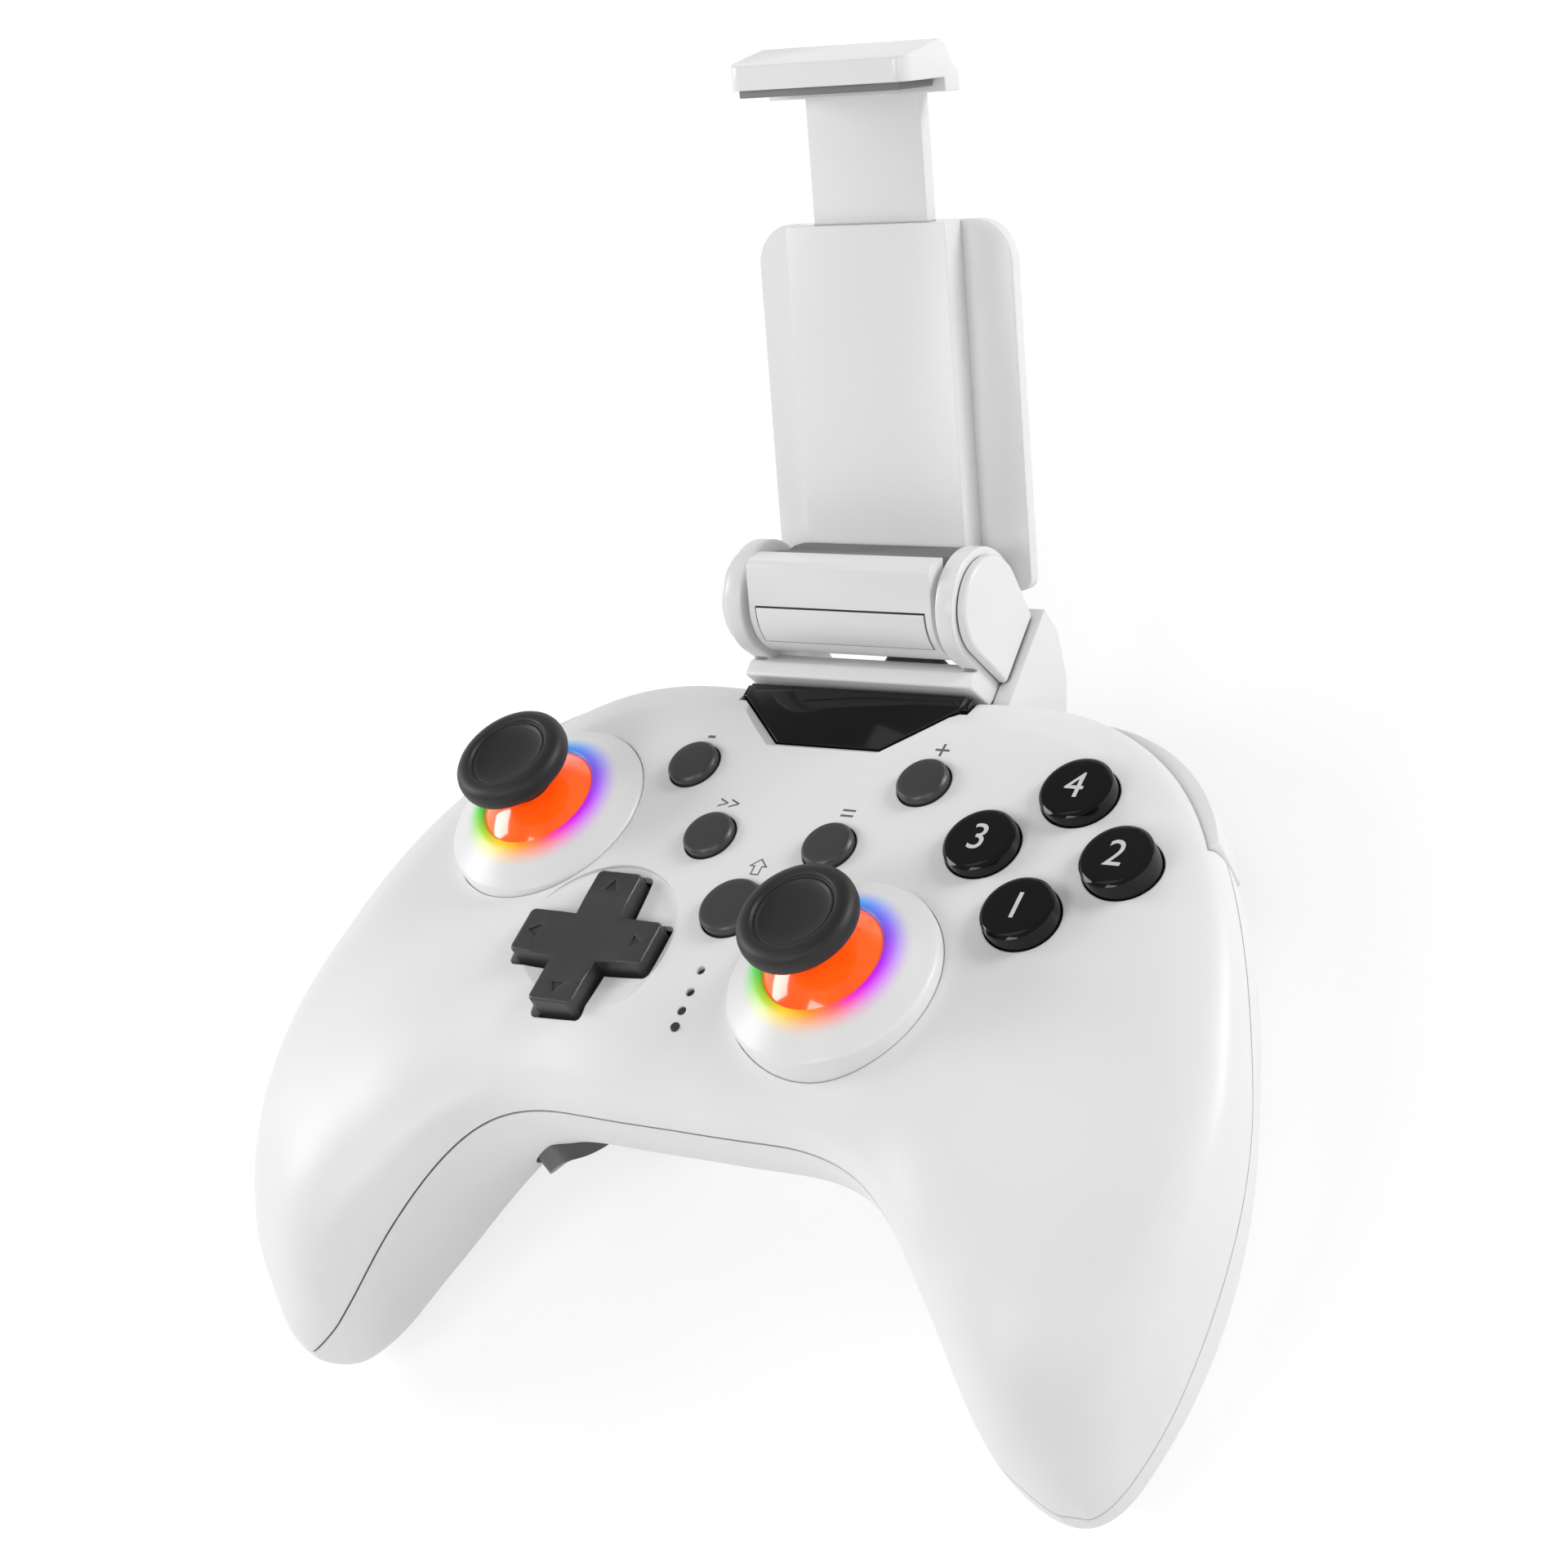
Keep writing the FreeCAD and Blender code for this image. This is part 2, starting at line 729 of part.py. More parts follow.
def stick_stem(side):
    """The shaft with the ball-shaped skirt that closes the collar's opening from below."""
    z = -stick_pivot_depth
    ball = Part.makeSphere(dome_radius, Vector(0, 0, z))
    ball = ball.cut(Part.makeSphere(dome_radius - dome_wall, Vector(0, 0, z)))
    spread = skirt_spread()
    edge = dome_radius * math.sin(spread)
    rise = dome_radius * math.cos(spread)
    cone = Part.makeCone(0, 2 * edge, 2 * rise, Vector(0, 0, z))
    skirt = ball.common(cone)
    top = z + dome_radius + 1.2
    tail = rocker_rise + stick_press + stick_tail_spare
    shaft = post(0, 0, z - tail, top, stick_shaft_radius)
    hub = post(0, 0, z + dome_radius - 4.0, top, stick_neck_radius - 1.0)
    return lifted(skirt.multiFuse([shaft, hub]), side)


def stick_cap(side):
    """The rubber cap: a neck, a rounded rim and a shallow dish with a raised ring round it."""
    r = stick_cap_radius
    top = stick_cap_height
    low = top - stick_cap_thickness
    neck = -stick_pivot_depth + dome_radius + 0.3
    d = stick_dish_radius
    profile = [
        (0, neck), (stick_neck_radius, neck), (stick_neck_radius, low), (r - 0.9, low + 0.3),
        (r, low + 1.2), (r, low + 2.2), (r - 0.35, top - 1.1), (r - 1.1, top - 0.3),
        (r - 1.9, top), (d + 0.8, top), (d, top - stick_dish_depth), (0, top - stick_dish_depth),
    ]
    cap = turned(profile, 0, 0, 0)
    socket = post(0, 0, neck - 1, neck + 1.0, stick_neck_radius - 1.0 + 0.05)
    return lifted(cap.cut(socket), side)


def stick_collar(side):
    """The fixed cone round the stick, with a flange that lies under the face."""
    seat = collar_seat_z(side) - stick_lift(side)
    rim = collar_rim_radius
    outer = [
        (0, seat - collar_flange), (collar_radius + 0.7, seat - collar_flange),
        (collar_radius + 0.7, seat), (collar_radius, seat), (collar_radius, 0.4),
        (collar_radius - 0.5, 0.9), (rim + 1.6, collar_height - 0.6), (rim, collar_height + 0.4),
        (collar_opening, collar_height + 0.3), (0, collar_height + 0.3),
    ]
    body = turned(outer, 0, 0, 0)
    pivot_z = -stick_pivot_depth
    clear = dome_radius + collar_play
    mid = pivot_z + math.sqrt(clear ** 2 - (clear - 0.15) ** 2)
    body = body.cut(Part.makeSphere(clear, Vector(0, 0, pivot_z)))
    body = body.cut(post(0, 0, seat - 5, mid, clear - 0.15))
    body = body.cut(post(0, 0, 0, collar_height + 5, collar_opening))
    return lifted(body, side)


def light_board(side):
    """A ring board with small lamps under the collar."""
    top = collar_seat_z(side) - collar_flange
    inner = dome_radius + collar_play
    ring = post(0, 0, top - light_board_thickness, top, inner + light_board_width - 0.4)
    ring = ring.cut(post(0, 0, top - 5, top + 1, inner))
    return placed(ring, side)


def collar_seats():
    rings = []
    for side in ("left", "right"):
        ring = post(0, 0, collar_seat_z(side), 5.0, collar_radius + 1.7)
        rings.append(placed(ring, side))
    return rings


def collar_holes():
    holes = []
    for side in ("left", "right"):
        seat = collar_seat_z(side)
        holes.append(placed(post(0, 0, seat - 8, 8, collar_radius + 0.15), side))
        holes.append(placed(post(0, 0, seat - 8, seat, collar_radius + 1.7 + 0.01), side))
    return holes


# Bumpers, triggers and paddles, drawn for the player's right hand
def bumper_plan(grow):
    x0 = bumper_inner_x - grow
    x1 = bumper_outer_x + grow
    far = 2 * rear_reach
    y1 = bumper_outer_y
    return [
        (x0, far), (x0, y1 + 7.0), (x0 + 14.0, y1), (x1 - 4.2, y1 - 7.9 - grow),
        (x1 + 5.6, y1 + 10.6), (x1 + 5.6, far),
    ]


def bumper_space(grow):
    return prism(bumper_plan(grow), -bumper_bottom - grow, -bumper_top + grow)


def rear_edge(x, outward=0.0):
    """The point of the hull's rear edge at this width, moved outward."""
    level = -(bumper_top + bumper_bottom) / 2
    ray = Part.makeLine(Vector(x, 0, level), Vector(x, 2 * rear_reach, level))
    rear = ray.common(hull(0)).BoundBox.YMax
    return Vector(x, rear, level) + Vector(0.5, 0.866, 0) * outward


def bumper_outline():
    """The space inside an upright arc that meets the hull at both ends of the bumper."""
    inner = rear_edge(bumper_inner_x)
    middle = rear_edge((bumper_inner_x + bumper_outer_x) / 2, bumper_bulge)
    outer = rear_edge(bumper_outer_x)
    arc = Part.Arc(inner, middle, outer).toShape()
    curve = arc.Curve
    return post(curve.Center.x, curve.Center.y, -grip_depth, 0, curve.Radius)


def bumper_relief():
    """Room beside the pressed bumper for the nearest button."""
    return post(action_x + action_spacing, action_y, -grip_depth, 0, action_radius + bumper_relief_gap)


def bumper():
    skin = hull(-bumper_proud).cut(hull(bumper_thickness - bumper_bulge)).common(bumper_outline())
    pivot = bumper_pivot()
    bore = post(pivot.x, pivot.y, -grip_depth, 0, bumper_pin_radius + pivot_play)
    return skin.common(bumper_space(0)).cut([bore, bumper_relief()])


def bumper_pivot():
    return Vector(bumper_inner_x + bumper_pin_inset, rear_reach, 0)


def bumper_pin():
    """The upright pin on the bottom shell that a bumper turns on."""
    pivot = bumper_pivot()
    return post(pivot.x, pivot.y, 0.7 - trigger_top, -bumper_top - bumper_gap, bumper_pin_radius)


def trigger_placed(shape):
    shape.rotate(Vector(0, 0, 0), Vector(0, 0, 1), -trigger_turn)
    shape.translate(Vector(trigger_x, trigger_y, 0))
    return shape


def trigger_profile():
    """The side view, as distances outwards from the trigger's place and heights."""
    out = trigger_reach
    top = -trigger_top
    low = -trigger_bottom
    return [
        (-6.0, top - 0.6), (0.35 * out, top), (0.7 * out, top - 1.4), (0.92 * out, top - 5.0),
        (out, 0.35 * top + 0.65 * low), (out + 1.5, low + 0.3), (out + 0.6, low - 0.3),
        (0.6 * out, low + 1.6), (0.0, low + 3.4), (-6.0, low + 4.4),
    ]


def trigger():
    half = trigger_width / 2
    body = side_plate(trigger_profile(), -half, half)
    pin = rod(trigger_pin_radius + pivot_play, Vector(-half - 1, *trigger_axis()), Vector(half + 1, *trigger_axis()))
    hollow = block(-half + 1.6, half - 1.6, 0.0, 3.5, -trigger_bottom, -trigger_top - 4.6)
    return trigger_placed(body.cut(pin).cut(hollow))


def trigger_axis():
    return (-2.5, -trigger_top - 2.6)


def trigger_pin():
    half = trigger_width / 2 + 2.0
    return trigger_placed(rod(trigger_pin_radius, Vector(-half, *trigger_axis()), Vector(half, *trigger_axis())))


def trigger_ears():
    half = trigger_width / 2
    ears = []
    for w in (-half - 2.4, half + 0.4):
        ears.append(block(w, w + 2.0, -5.5, 0.5, -2 * grip_depth, -trigger_top - 0.4))
    return trigger_placed(Part.makeCompound(ears))


def trigger_bore():
    half = trigger_width / 2 + 3.0
    radius = trigger_pin_radius + pivot_play
    return trigger_placed(rod(radius, Vector(-half, *trigger_axis()), Vector(half, *trigger_axis())))


def trigger_slot():
    half = trigger_width / 2 + 0.4
    return trigger_placed(block(-half, half, -7.0, 25.0, -trigger_bottom + 0.6, -trigger_top + 0.5))


def paddle_space(grow):
    length = paddle_length + 2 * grow
    width = paddle_width + 2 * grow
    plug = round_box(width, length, -2 * grip_depth, -seam_level - 5.0 + grow, 2.5)
    plug.translate(Vector(paddle_x, paddle_y, 0))
    return plug


def back_paddle():
    skin = hull(-paddle_proud_pressed - paddle_travel).cut(hull(wall + 0.6))
    return skin.common(paddle_space(0))


# Rumble motors in the grips
def motor_axis(y):
    return Vector(motor_x, y, motor_z)


def rumble_motor():
    y0 = motor_y - motor_length / 2
    y1 = motor_y + motor_length / 2
    can = rod(motor_radius, motor_axis(y0), motor_axis(y1))
    shaft = rod(1.0, motor_axis(y1 - 1), motor_axis(y1 + 1.0 + weight_length))
    return can.fuse(shaft)


def rumble_weight():
    y0 = motor_y + motor_length / 2 + 0.6
    disc = rod(weight_radius, motor_axis(y0), motor_axis(y0 + weight_length))
    x = motor_x
    upper = block(x - 20, x + 20, y0 - 1, y0 + 20, motor_z + 1.8, motor_z + 20)
    bore = rod(1.0 + pivot_play, motor_axis(y0 - 1), motor_axis(y0 + weight_length + 1))
    return disc.cut(upper).cut(bore)


def motor_cradle():
    half = motor_length / 2 - 2.0
    saddle = block(motor_x - 4.5, motor_x + 4.5, motor_y - half, motor_y + half, -2 * grip_depth, motor_z - 2)
    hollow = rod(motor_radius + 0.3, motor_axis(motor_y - 9), motor_axis(motor_y + 9))
    return saddle.cut(hollow)


# The shells
def notch_plan(inset):
    front = notch_front_y + inset
    rear = notch_rear_y + inset
    return [
        (-notch_front_half + 0.6 * inset, front), (notch_front_half - 0.6 * inset, front),
        (notch_rear_half - inset, rear), (notch_rear_half + 0.8 - inset, rear_reach + 12.0),
        (-notch_rear_half - 0.8 + inset, rear_reach + 12.0), (-notch_rear_half + inset, rear),
    ]


def notch_cuts():
    deep = -panel_drop - panel_thickness - 0.6
    straight = prism(notch_plan(0), deep, 5.0)
    low = Part.makePolygon([Vector(x, y, -notch_bevel) for x, y in notch_plan(0) + notch_plan(0)[:1]])
    wide = notch_plan(-2.5 * notch_bevel)
    high = Part.makePolygon([Vector(x, y, 1.5 * notch_bevel) for x, y in wide + wide[:1]])
    bevel = Part.makeLoft([low, high], True, True)
    return [straight, bevel]


def rear_opening():
    half = notch_rear_half + 1.1
    return block(-half, half, notch_rear_y - 0.2, rear_reach + 12, -panel_skirt_depth - 0.4, 5.0)


def top_shell():
    shell = hull(0).cut(hull(wall))
    inside = button_sleeves() + collar_seats()
    shell = shell.multiFuse([Part.makeCompound(inside).common(hull(0))])
    shell = shell.cut([seam_block(seam_gap / 2)])
    shell = shell.multiFuse([screw_bosses(True)])
    right = [bumper_space(bumper_gap), trigger_slot()]
    cuts = button_holes() + collar_holes() + screw_holes() + notch_cuts()
    cuts += right + [mirrored(shape) for shape in right]
    cuts += [rear_opening(), dpad_dish(), dpad_opening()]
    for y in lamp_places:
        cuts.append(post(0, y, -8, 5, lamp_radius + 0.05))
    return max(shell.cut(cuts).Solids, key=lambda solid: solid.Volume)


def bottom_shell():
    shell = hull(0).cut(hull(wall))
    shell = shell.common(seam_block(-seam_gap / 2))
    pad = belly_pad(0)
    shell = shell.cut(belly_pad(wall).common(hull(-5)))
    pad = pad.cut(belly_pad(wall)).cut(hull(wall))
    right = [
        trigger_ears().common(hull(wall / 2)),
        motor_cradle().common(hull(wall / 2)),
    ]
    adds = [pad, screw_bosses(False), board_posts()] + right + [mirrored(shape) for shape in right]
    shell = shell.multiFuse(adds)
    reach = 2 * half_width
    table = unstand(block(-reach, reach, -reach, reach, -reach, 0))
    right_cuts = [bumper_space(bumper_gap), trigger_slot(), trigger_bore(), paddle_space(0.35)]
    cuts = right_cuts + [mirrored(shape) for shape in right_cuts] + screw_holes()
    cuts += [rear_opening(), table]
    pins = [bumper_pin(), mirrored(bumper_pin())]
    return shell.cut(cuts).multiFuse(pins)


def board_posts():
    """Four legs from the floor of the bottom shell to the main board."""
    under = -board_depth - board_thickness
    legs = []
    for x in (-board_post_x, board_post_x):
        for y in (board_front + 10.0, board_rear - 6.0):
            legs.append(post(x, y, -2 * grip_depth, under, 2.4))
    return Part.makeCompound(legs).common(hull(wall / 2))


def main_board():
    low = -board_depth - board_thickness
    board = block(-board_half, board_half, board_front, board_rear, low, -board_depth)
    return board.common(hull(wall + 1.5))


def battery():
    cell = block(
        -battery_length / 2, battery_length / 2, -battery_width / 2, battery_width / 2,
        wall + fit_gap, wall + fit_gap + battery_height,
    )
    long_edges = [e for e in cell.Edges if abs(e.tangentAt(e.FirstParameter).x) > 0.99]
    return unstand(cell.makeFillet(1.5, long_edges))


def indicator_lights():
    first, last = lamp_places[0], lamp_places[-1]
    pipes = [post(0, y, -5.4, -1.0, lamp_radius) for y in lamp_places]
    bar = block(-1.5, 1.5, last - 1.2, first + 1.2, -6.4, -4.2)
    return bar.multiFuse(pipes)


def center_panel():
    """The glossy panel that fills the notch and turns down over the rear wall."""
    plate = prism(notch_plan(0.25), -panel_drop - panel_thickness, -panel_drop)
    rear_y = rear_reach - 0.4
    plate = plate.cut(block(-half_width, half_width, rear_y, 2 * rear_reach, -grip_depth, 5))
    half = notch_rear_half + 0.8
    skirt = block(-half, half, rear_y - wall, rear_y, -panel_skirt_depth, -panel_drop - 0.5)
    panel = plate.fuse(skirt)
    hole = block(-4.8, 4.8, rear_y - 5, rear_y + 5, usb_z - 1.9, usb_z + 1.9)
    return panel.cut(hole)


def usb_socket():
    """A small charging inlet, open to the rear."""
    y1 = rear_reach - 1.2
    y0 = y1 - 8.0
    shape = block(-4.5, 4.5, y0, y1, usb_z - 1.6, usb_z + 1.6)
    shape = shape.cut(block(-4.15, 4.15, y0 + 1.0, y1 + 1, usb_z - 1.25, usb_z + 1.25))
    tongue = block(-3.3, 3.3, y0 + 0.5, y1 - 1.0, usb_z - 0.35, usb_z + 0.35)
    return shape.fuse(tongue)


# Holder: a bracket on the rear wall, a frame of two arms that stands in it, and the clamp that
# tilts between the arms. The clamp is drawn upright (x, back, up) from its front top edge.
def leaned(shape):
    result = tilted(shape, -clamp_lean)
    result.translate(Vector(0, clamp_y, clamp_z))
    return result


def leaned_point(back, up):
    angle = math.radians(clamp_lean)
    y = clamp_y + back * math.cos(angle) + up * math.sin(angle)
    z = clamp_z - back * math.sin(angle) + up * math.cos(angle)
    return Vector(0, y, z)


def clamp_axis():
    return leaned_point(barrel_radius, -barrel_drop)


def across(radius, x0, x1, y, z):
    return rod(radius, Vector(x0, y, z), Vector(x1, y, z))


def hub_slab(x0, x1, radius, corners):
    """A plate between x0 and x1: a disc round the clamp's axis joined by tangents to corners."""
    centre = clamp_axis()
    disc = across(radius, x0, x1, centre.y, centre.z)
    outline = []
    for y, z in corners:
        reach = math.hypot(y - centre.y, z - centre.z)
        towards = math.atan2(z - centre.z, y - centre.y)
        swing = math.acos(radius / reach)
        turn = towards + (swing if y > centre.y else -swing)
        outline.append((centre.y + radius * math.cos(turn), centre.z + radius * math.sin(turn)))
    front, rear = corners
    corners_all = [(centre.y, centre.z), outline[0], front, rear, outline[1]]
    return side_plate(corners_all, x0, x1).fuse(disc).removeSplitter()


def arm_inner():
    return jaw_half + 1.0


def arm_outer():
    return arm_inner() + arm_thickness


def bracket_front_y():
    return rear_reach - 0.1


def bracket_top(y):
    """The sloping upper edge of the bracket's side walls."""
    return -5.8 + 0.17 * (y - bracket_front_y() - 2.0)


def holder_bracket():
    front = bracket_front_y()
    rear = bracket_rear_y
    low = -bracket_depth
    inner = arm_outer() + 0.15
    outer = inner + bracket_wall
    wall_start = rear_reach + 1.4
    wall_side = [
        (wall_start, bracket_top(wall_start)), (rear, bracket_top(rear)), (rear + 0.3, -8.0),
        (rear - 2.6, -15.0), (rear - 7.5, low + 1.8), (wall_start, low),
    ]
    walls = [side_plate(wall_side, inner, outer), side_plate(wall_side, -outer, -inner)]
    plate = block(-inner + 0.1, inner - 0.1, front, front + 2.1, low, -6.2)
    plate = plate.fuse(block(-inner - 0.5, inner + 0.5, wall_start, front + 2.1, low, -6.2))
    port = block(-6.5, 6.5, front - 1, front + 3, usb_z - 3.5, usb_z + 3.5)
    floor_web = block(-outer, outer, wall_start, rear - 8.0, low, low + 1.8)
    bridge_z = lock_knob_z
    bridge = block(-inner - 0.5, inner + 0.5, rear - 3.0, rear - 0.4, bridge_z + 0.5, bracket_top(rear) - 1.5)
    boss = rod(3.2, Vector(0, rear - 3.6, bridge_z), Vector(0, rear - 0.2, bridge_z))
    bracket = walls[0].multiFuse([walls[1], plate, floor_web, bridge, boss])
    bore = rod(1.5 + pivot_play, Vector(0, rear - 8, bridge_z), Vector(0, rear + 1, bridge_z))
    return bracket.cut([port, bore])


def lock_knob():
    """A bar knob on a screw that holds the frame in its bracket."""
    z = lock_knob_z
    half = lock_knob_length / 2
    bar = block(-half + 2, half - 2, lock_knob_y - 1.5, lock_knob_y + 1.5, z - 2, z + 2)
    ends = []
    for x in (-half + 2, half - 2):
        ends.append(rod(2.0, Vector(x, lock_knob_y - 1.5, z), Vector(x, lock_knob_y + 1.5, z)))
    knob = bar.multiFuse(ends).removeSplitter()
    dents = []
    for x in (-half + 2.6, half - 2.6):
        dents.append(Part.makeSphere(1.6, Vector(x, lock_knob_y - 2.5, z)))
    collar = rod(2.2, Vector(0, lock_knob_y + 1.4, z), Vector(0, bracket_rear_y - 3.9, z))
    screw = rod(1.5, Vector(0, lock_knob_y + 1.4, z), Vector(0, bracket_rear_y, z))
    return knob.cut(dents).multiFuse([collar, screw])


def frame_corners():
    front = rear_reach + 5.4
    rear = bracket_rear_y - 1.0
    return ((front, bracket_top(front) + 0.35), (rear, bracket_top(rear) + 0.35))


def holder_frame():
    """Two arms with round hubs, joined by a bar in front and standing in the bracket."""
    inner = arm_inner()
    outer = arm_outer()
    front = rear_reach + 3.0
    rear = bracket_rear_y - 3.8
    arms = []
    for x0, x1 in ((inner, outer), (-outer, -inner)):
        arm = hub_slab(x0, x1, hub_radius, frame_corners())
        low = -bracket_depth + 5.0
        leg = side_plate([(front, -4.0), (rear, -3.2), (rear, -12.0), (rear - 3.0, low), (front, low)], x0, x1)
        arms += [arm, leg]
    bar = side_plate(
        [(rear_reach, 0.4), (rear_reach + 1.8, -5.8), (front + 2.6, -5.8), (front + 2.6, -1.0), (front - 0.6, 0.9)],
        -outer, outer,
    )
    frame = arms[0].multiFuse(arms[1:] + [bar])
    centre = clamp_axis()
    bore = across(hinge_pin_radius + pivot_play, -outer - 1, outer + 1, centre.y, centre.z)
    return frame.cut(bore)


def arm_cover():
    """The smooth outer cover over the right arm."""
    x0 = arm_outer() + 0.05
    front, rear = frame_corners()
    cover = hub_slab(x0, x0 + 1.6, 7.6, ((front[0] + 0.3, front[1]), (rear[0] - 0.3, rear[1])))
    outer = [
        e for e in cover.Edges
        if abs(e.CenterOfMass.x - x0 - 1.6) < 0.01 and e.CenterOfMass.z > -4.0
    ]
    return cover.makeFillet(0.7, outer)


def clamp_hinge_pin():
    centre = clamp_axis()
    return across(hinge_pin_radius, -arm_outer(), arm_outer(), centre.y, centre.z)


def ring_sector(inner, outer, start, end, x0, x1):
    """Part of a ring round the barrel's axis in the clamp's own frame; angles in degrees from back."""
    far = 3 * outer
    corners = [(barrel_radius, -barrel_drop)]
    for k in range(5):
        angle = math.radians(start + (end - start) * k / 4)
        corners.append((barrel_radius + far * math.cos(angle), -barrel_drop + far * math.sin(angle)))
    wedge = side_plate(corners, x0, x1)
    ring = across(outer, x0, x1, barrel_radius, -barrel_drop)
    ring = ring.cut(across(inner, x0 - 1, x1 + 1, barrel_radius, -barrel_drop))
    return ring.common(wedge)


def pad_front():
    return 4.2


def spine_front():
    return pad_front() + phone_room + 0.6


def rail_end():
    """The height of the rail's lower end with the jaws as far apart as drawn."""
    return rail_floor_gap + jaw_slide_in


def back_plate_height():
    return rail_end() + jaw_slide_out + rail_hold


def clamp_body():
    """The barrel with the lower jaw, the spine that guides the upper jaw and the back plate."""
    r = barrel_radius
    half = jaw_half
    back = spine_front()
    barrel = across(r, -half, half, r, -barrel_drop)
    jaw = side_plate(
        [(0, -barrel_drop), (0, -0.8), (0.5, 0), (3.5, 0.8), (pad_front() - 0.2, 0.8),
         (pad_front() - 0.2, -1.4), (back, -1.4), (back, -barrel_drop)],
        -half, half,
    )
    plate_front = back + rail_thickness + 1.6 + 0.5
    spine = block(-spine_half, spine_half, back, plate_front + 0.1, -barrel_drop, back_plate_height())
    plate = block(
        -back_plate_half, back_plate_half, plate_front, plate_front + 2.0, -barrel_drop + 0.5, back_plate_height()
    )
    upright = [
        e for e in plate.Edges
        if abs(e.tangentAt(e.FirstParameter).y) > 0.99 and e.CenterOfMass.z > 0
    ]
    plate = plate.makeFillet(6.0, upright)
    low_plate = [
        e for e in plate.Edges
        if abs(e.tangentAt(e.FirstParameter).y) > 0.99 and e.CenterOfMass.z < 0
    ]
    plate = plate.makeFillet(2.0, low_plate)
    body = barrel.multiFuse([jaw, spine, plate])
    clear = rail_play
    channel = block(
        -rail_half - clear, rail_half + clear, back + 1.6, back + 1.6 + rail_thickness + 2 * clear,
        -1.0, back_plate_height() + 1,
    )
    bore = across(hinge_pin_radius + pivot_play, -half - 1, half + 1, r, -barrel_drop)
    recess = ring_sector(r - 1.3, r + 3, 178.0, 224.0, -half + 1.1, half - 1.1)
    pad_seat = block(-half - 1, half + 1, pad_front() - 0.2, back, -1.4, 5.0)
    return leaned(body.cut([channel, bore, recess, pad_seat]))


def clamp_cover():
    """The curved cover in the front of the barrel."""
    return leaned(ring_sector(
        barrel_radius - 1.1, barrel_radius + 0.15, 180.0, 222.0, -jaw_half + 1.3, jaw_half - 1.3
    ))


def lower_pad():
    front = pad_front()
    pad = block(-jaw_half + 1.5, jaw_half - 1.5, front, spine_front() - 0.3, -1.4, 0.6)
    groove = across(5.0, -jaw_half, jaw_half, front + phone_room / 2, 5.2)
    return leaned(pad.cut(groove))


def jaw_level():
    return phone_gap + 1.7


def upper_jaw():
    """The sliding jaw and its rail."""
    up = jaw_level()
    half = upper_jaw_half
    back = spine_front()
    rear = back + 1.6 + rail_play + rail_thickness
    jaw = side_plate(
        [(3.5, up), (3.5, up + 3.5), (back - 0.4, up + 5.5), (back + 0.8, up + 4.8), (back + 2.0, up + 2.8),
         (rear, up + 0.4), (rear, up - 2.0), (back + 0.3, up - 2.0), (back + 0.3, up)],
        -half, half,
    )
    front_corners = [
        e for e in jaw.Edges
        if abs(e.CenterOfMass.y - 3.5) < 0.01 and abs(abs(e.CenterOfMass.x) - half) < 0.01
    ]
    jaw = jaw.makeFillet(2.2, front_corners)
    rail_back = back + 1.6 + rail_play
    rail = block(-rail_half, rail_half, rail_back, rail_back + rail_thickness, rail_end(), up + 1)
    pocket = block(-half + 1.5, half - 1.5, pad_front(), back - 0.3, up - 1, up + 0.8)
    return leaned(jaw.cut(pocket).fuse(rail))


def upper_pad():
    up = jaw_level()
    pad = block(-upper_jaw_half + 1.6, upper_jaw_half - 1.6, pad_front() + 0.1, spine_front() - 0.4, up - 1.1, up + 0.8)
    return leaned(pad)


def pair(name, right):
    """A right-hand piece and its mirrored left-hand twin."""
    return {"right_" + name: stand(right), "left_" + name: stand(mirrored(right))}


def controller():
    pieces = {
        "top_shell": stand(top_shell()),
        "bottom_shell": stand(bottom_shell()),
        "housing_screws": stand(housing_screws()),
        "center_panel": stand(center_panel()),
        "usb_socket": stand(usb_socket()),
        "main_board": stand(main_board()),
        "battery": stand(battery()),
        "indicator_lights": stand(indicator_lights()),
        "d_pad": stand(d_pad()),
        "dpad_ball": stand(dpad_ball()),
        "dpad_post": stand(dpad_post()),
        "dpad_membrane": stand(dpad_membrane()),
        "action_membrane": stand(action_membrane()),
        "function_membrane": stand(function_membrane()),
        "holder_bracket": stand(holder_bracket()),
        "holder_frame": stand(holder_frame()),
        "clamp_body": stand(clamp_body()),
        "clamp_cover": stand(clamp_cover()),
        "clamp_hinge_pin": stand(clamp_hinge_pin()),
        "lower_pad": stand(lower_pad()),
        "upper_jaw": stand(upper_jaw()),
        "upper_pad": stand(upper_pad()),
        "lock_knob": stand(lock_knob()),
    }
    for name, place in button_places().items():
        pieces[name] = stand(push_button(*place))
    for side in ("left", "right"):
        pieces[side + "_stick_module"] = stand(stick_module(side))
        pieces[side + "_stick_yoke"] = stand(stick_yoke(side))
        pieces[side + "_stick_rocker"] = stand(stick_rocker(side))
        pieces[side + "_stick_stem"] = stand(stick_stem(side))
        pieces[side + "_stick_cap"] = stand(stick_cap(side))
        pieces[side + "_stick_collar"] = stand(stick_collar(side))
        pieces[side + "_light_board"] = stand(light_board(side))
    pieces.update(pair("bumper", bumper()))
    pieces.update(pair("trigger", trigger()))
    pieces.update(pair("trigger_pin", trigger_pin()))
    pieces.update(pair("back_paddle", back_paddle()))
    pieces.update(pair("rumble_motor", rumble_motor()))
    pieces.update(pair("rumble_weight", rumble_weight()))
    pieces.update(pair("arm_cover", arm_cover()))
    return pieces


def main():
    pieces = controller()
    for name in sorted(pieces):
        pieces[name].exportStep("parts/" + name + ".step")
        print(name, round(pieces[name].Volume, 1))


if __name__ == "__main__":
    main()
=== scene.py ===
import json
import math

import bmesh
import bpy
from mathutils import Matrix, Vector

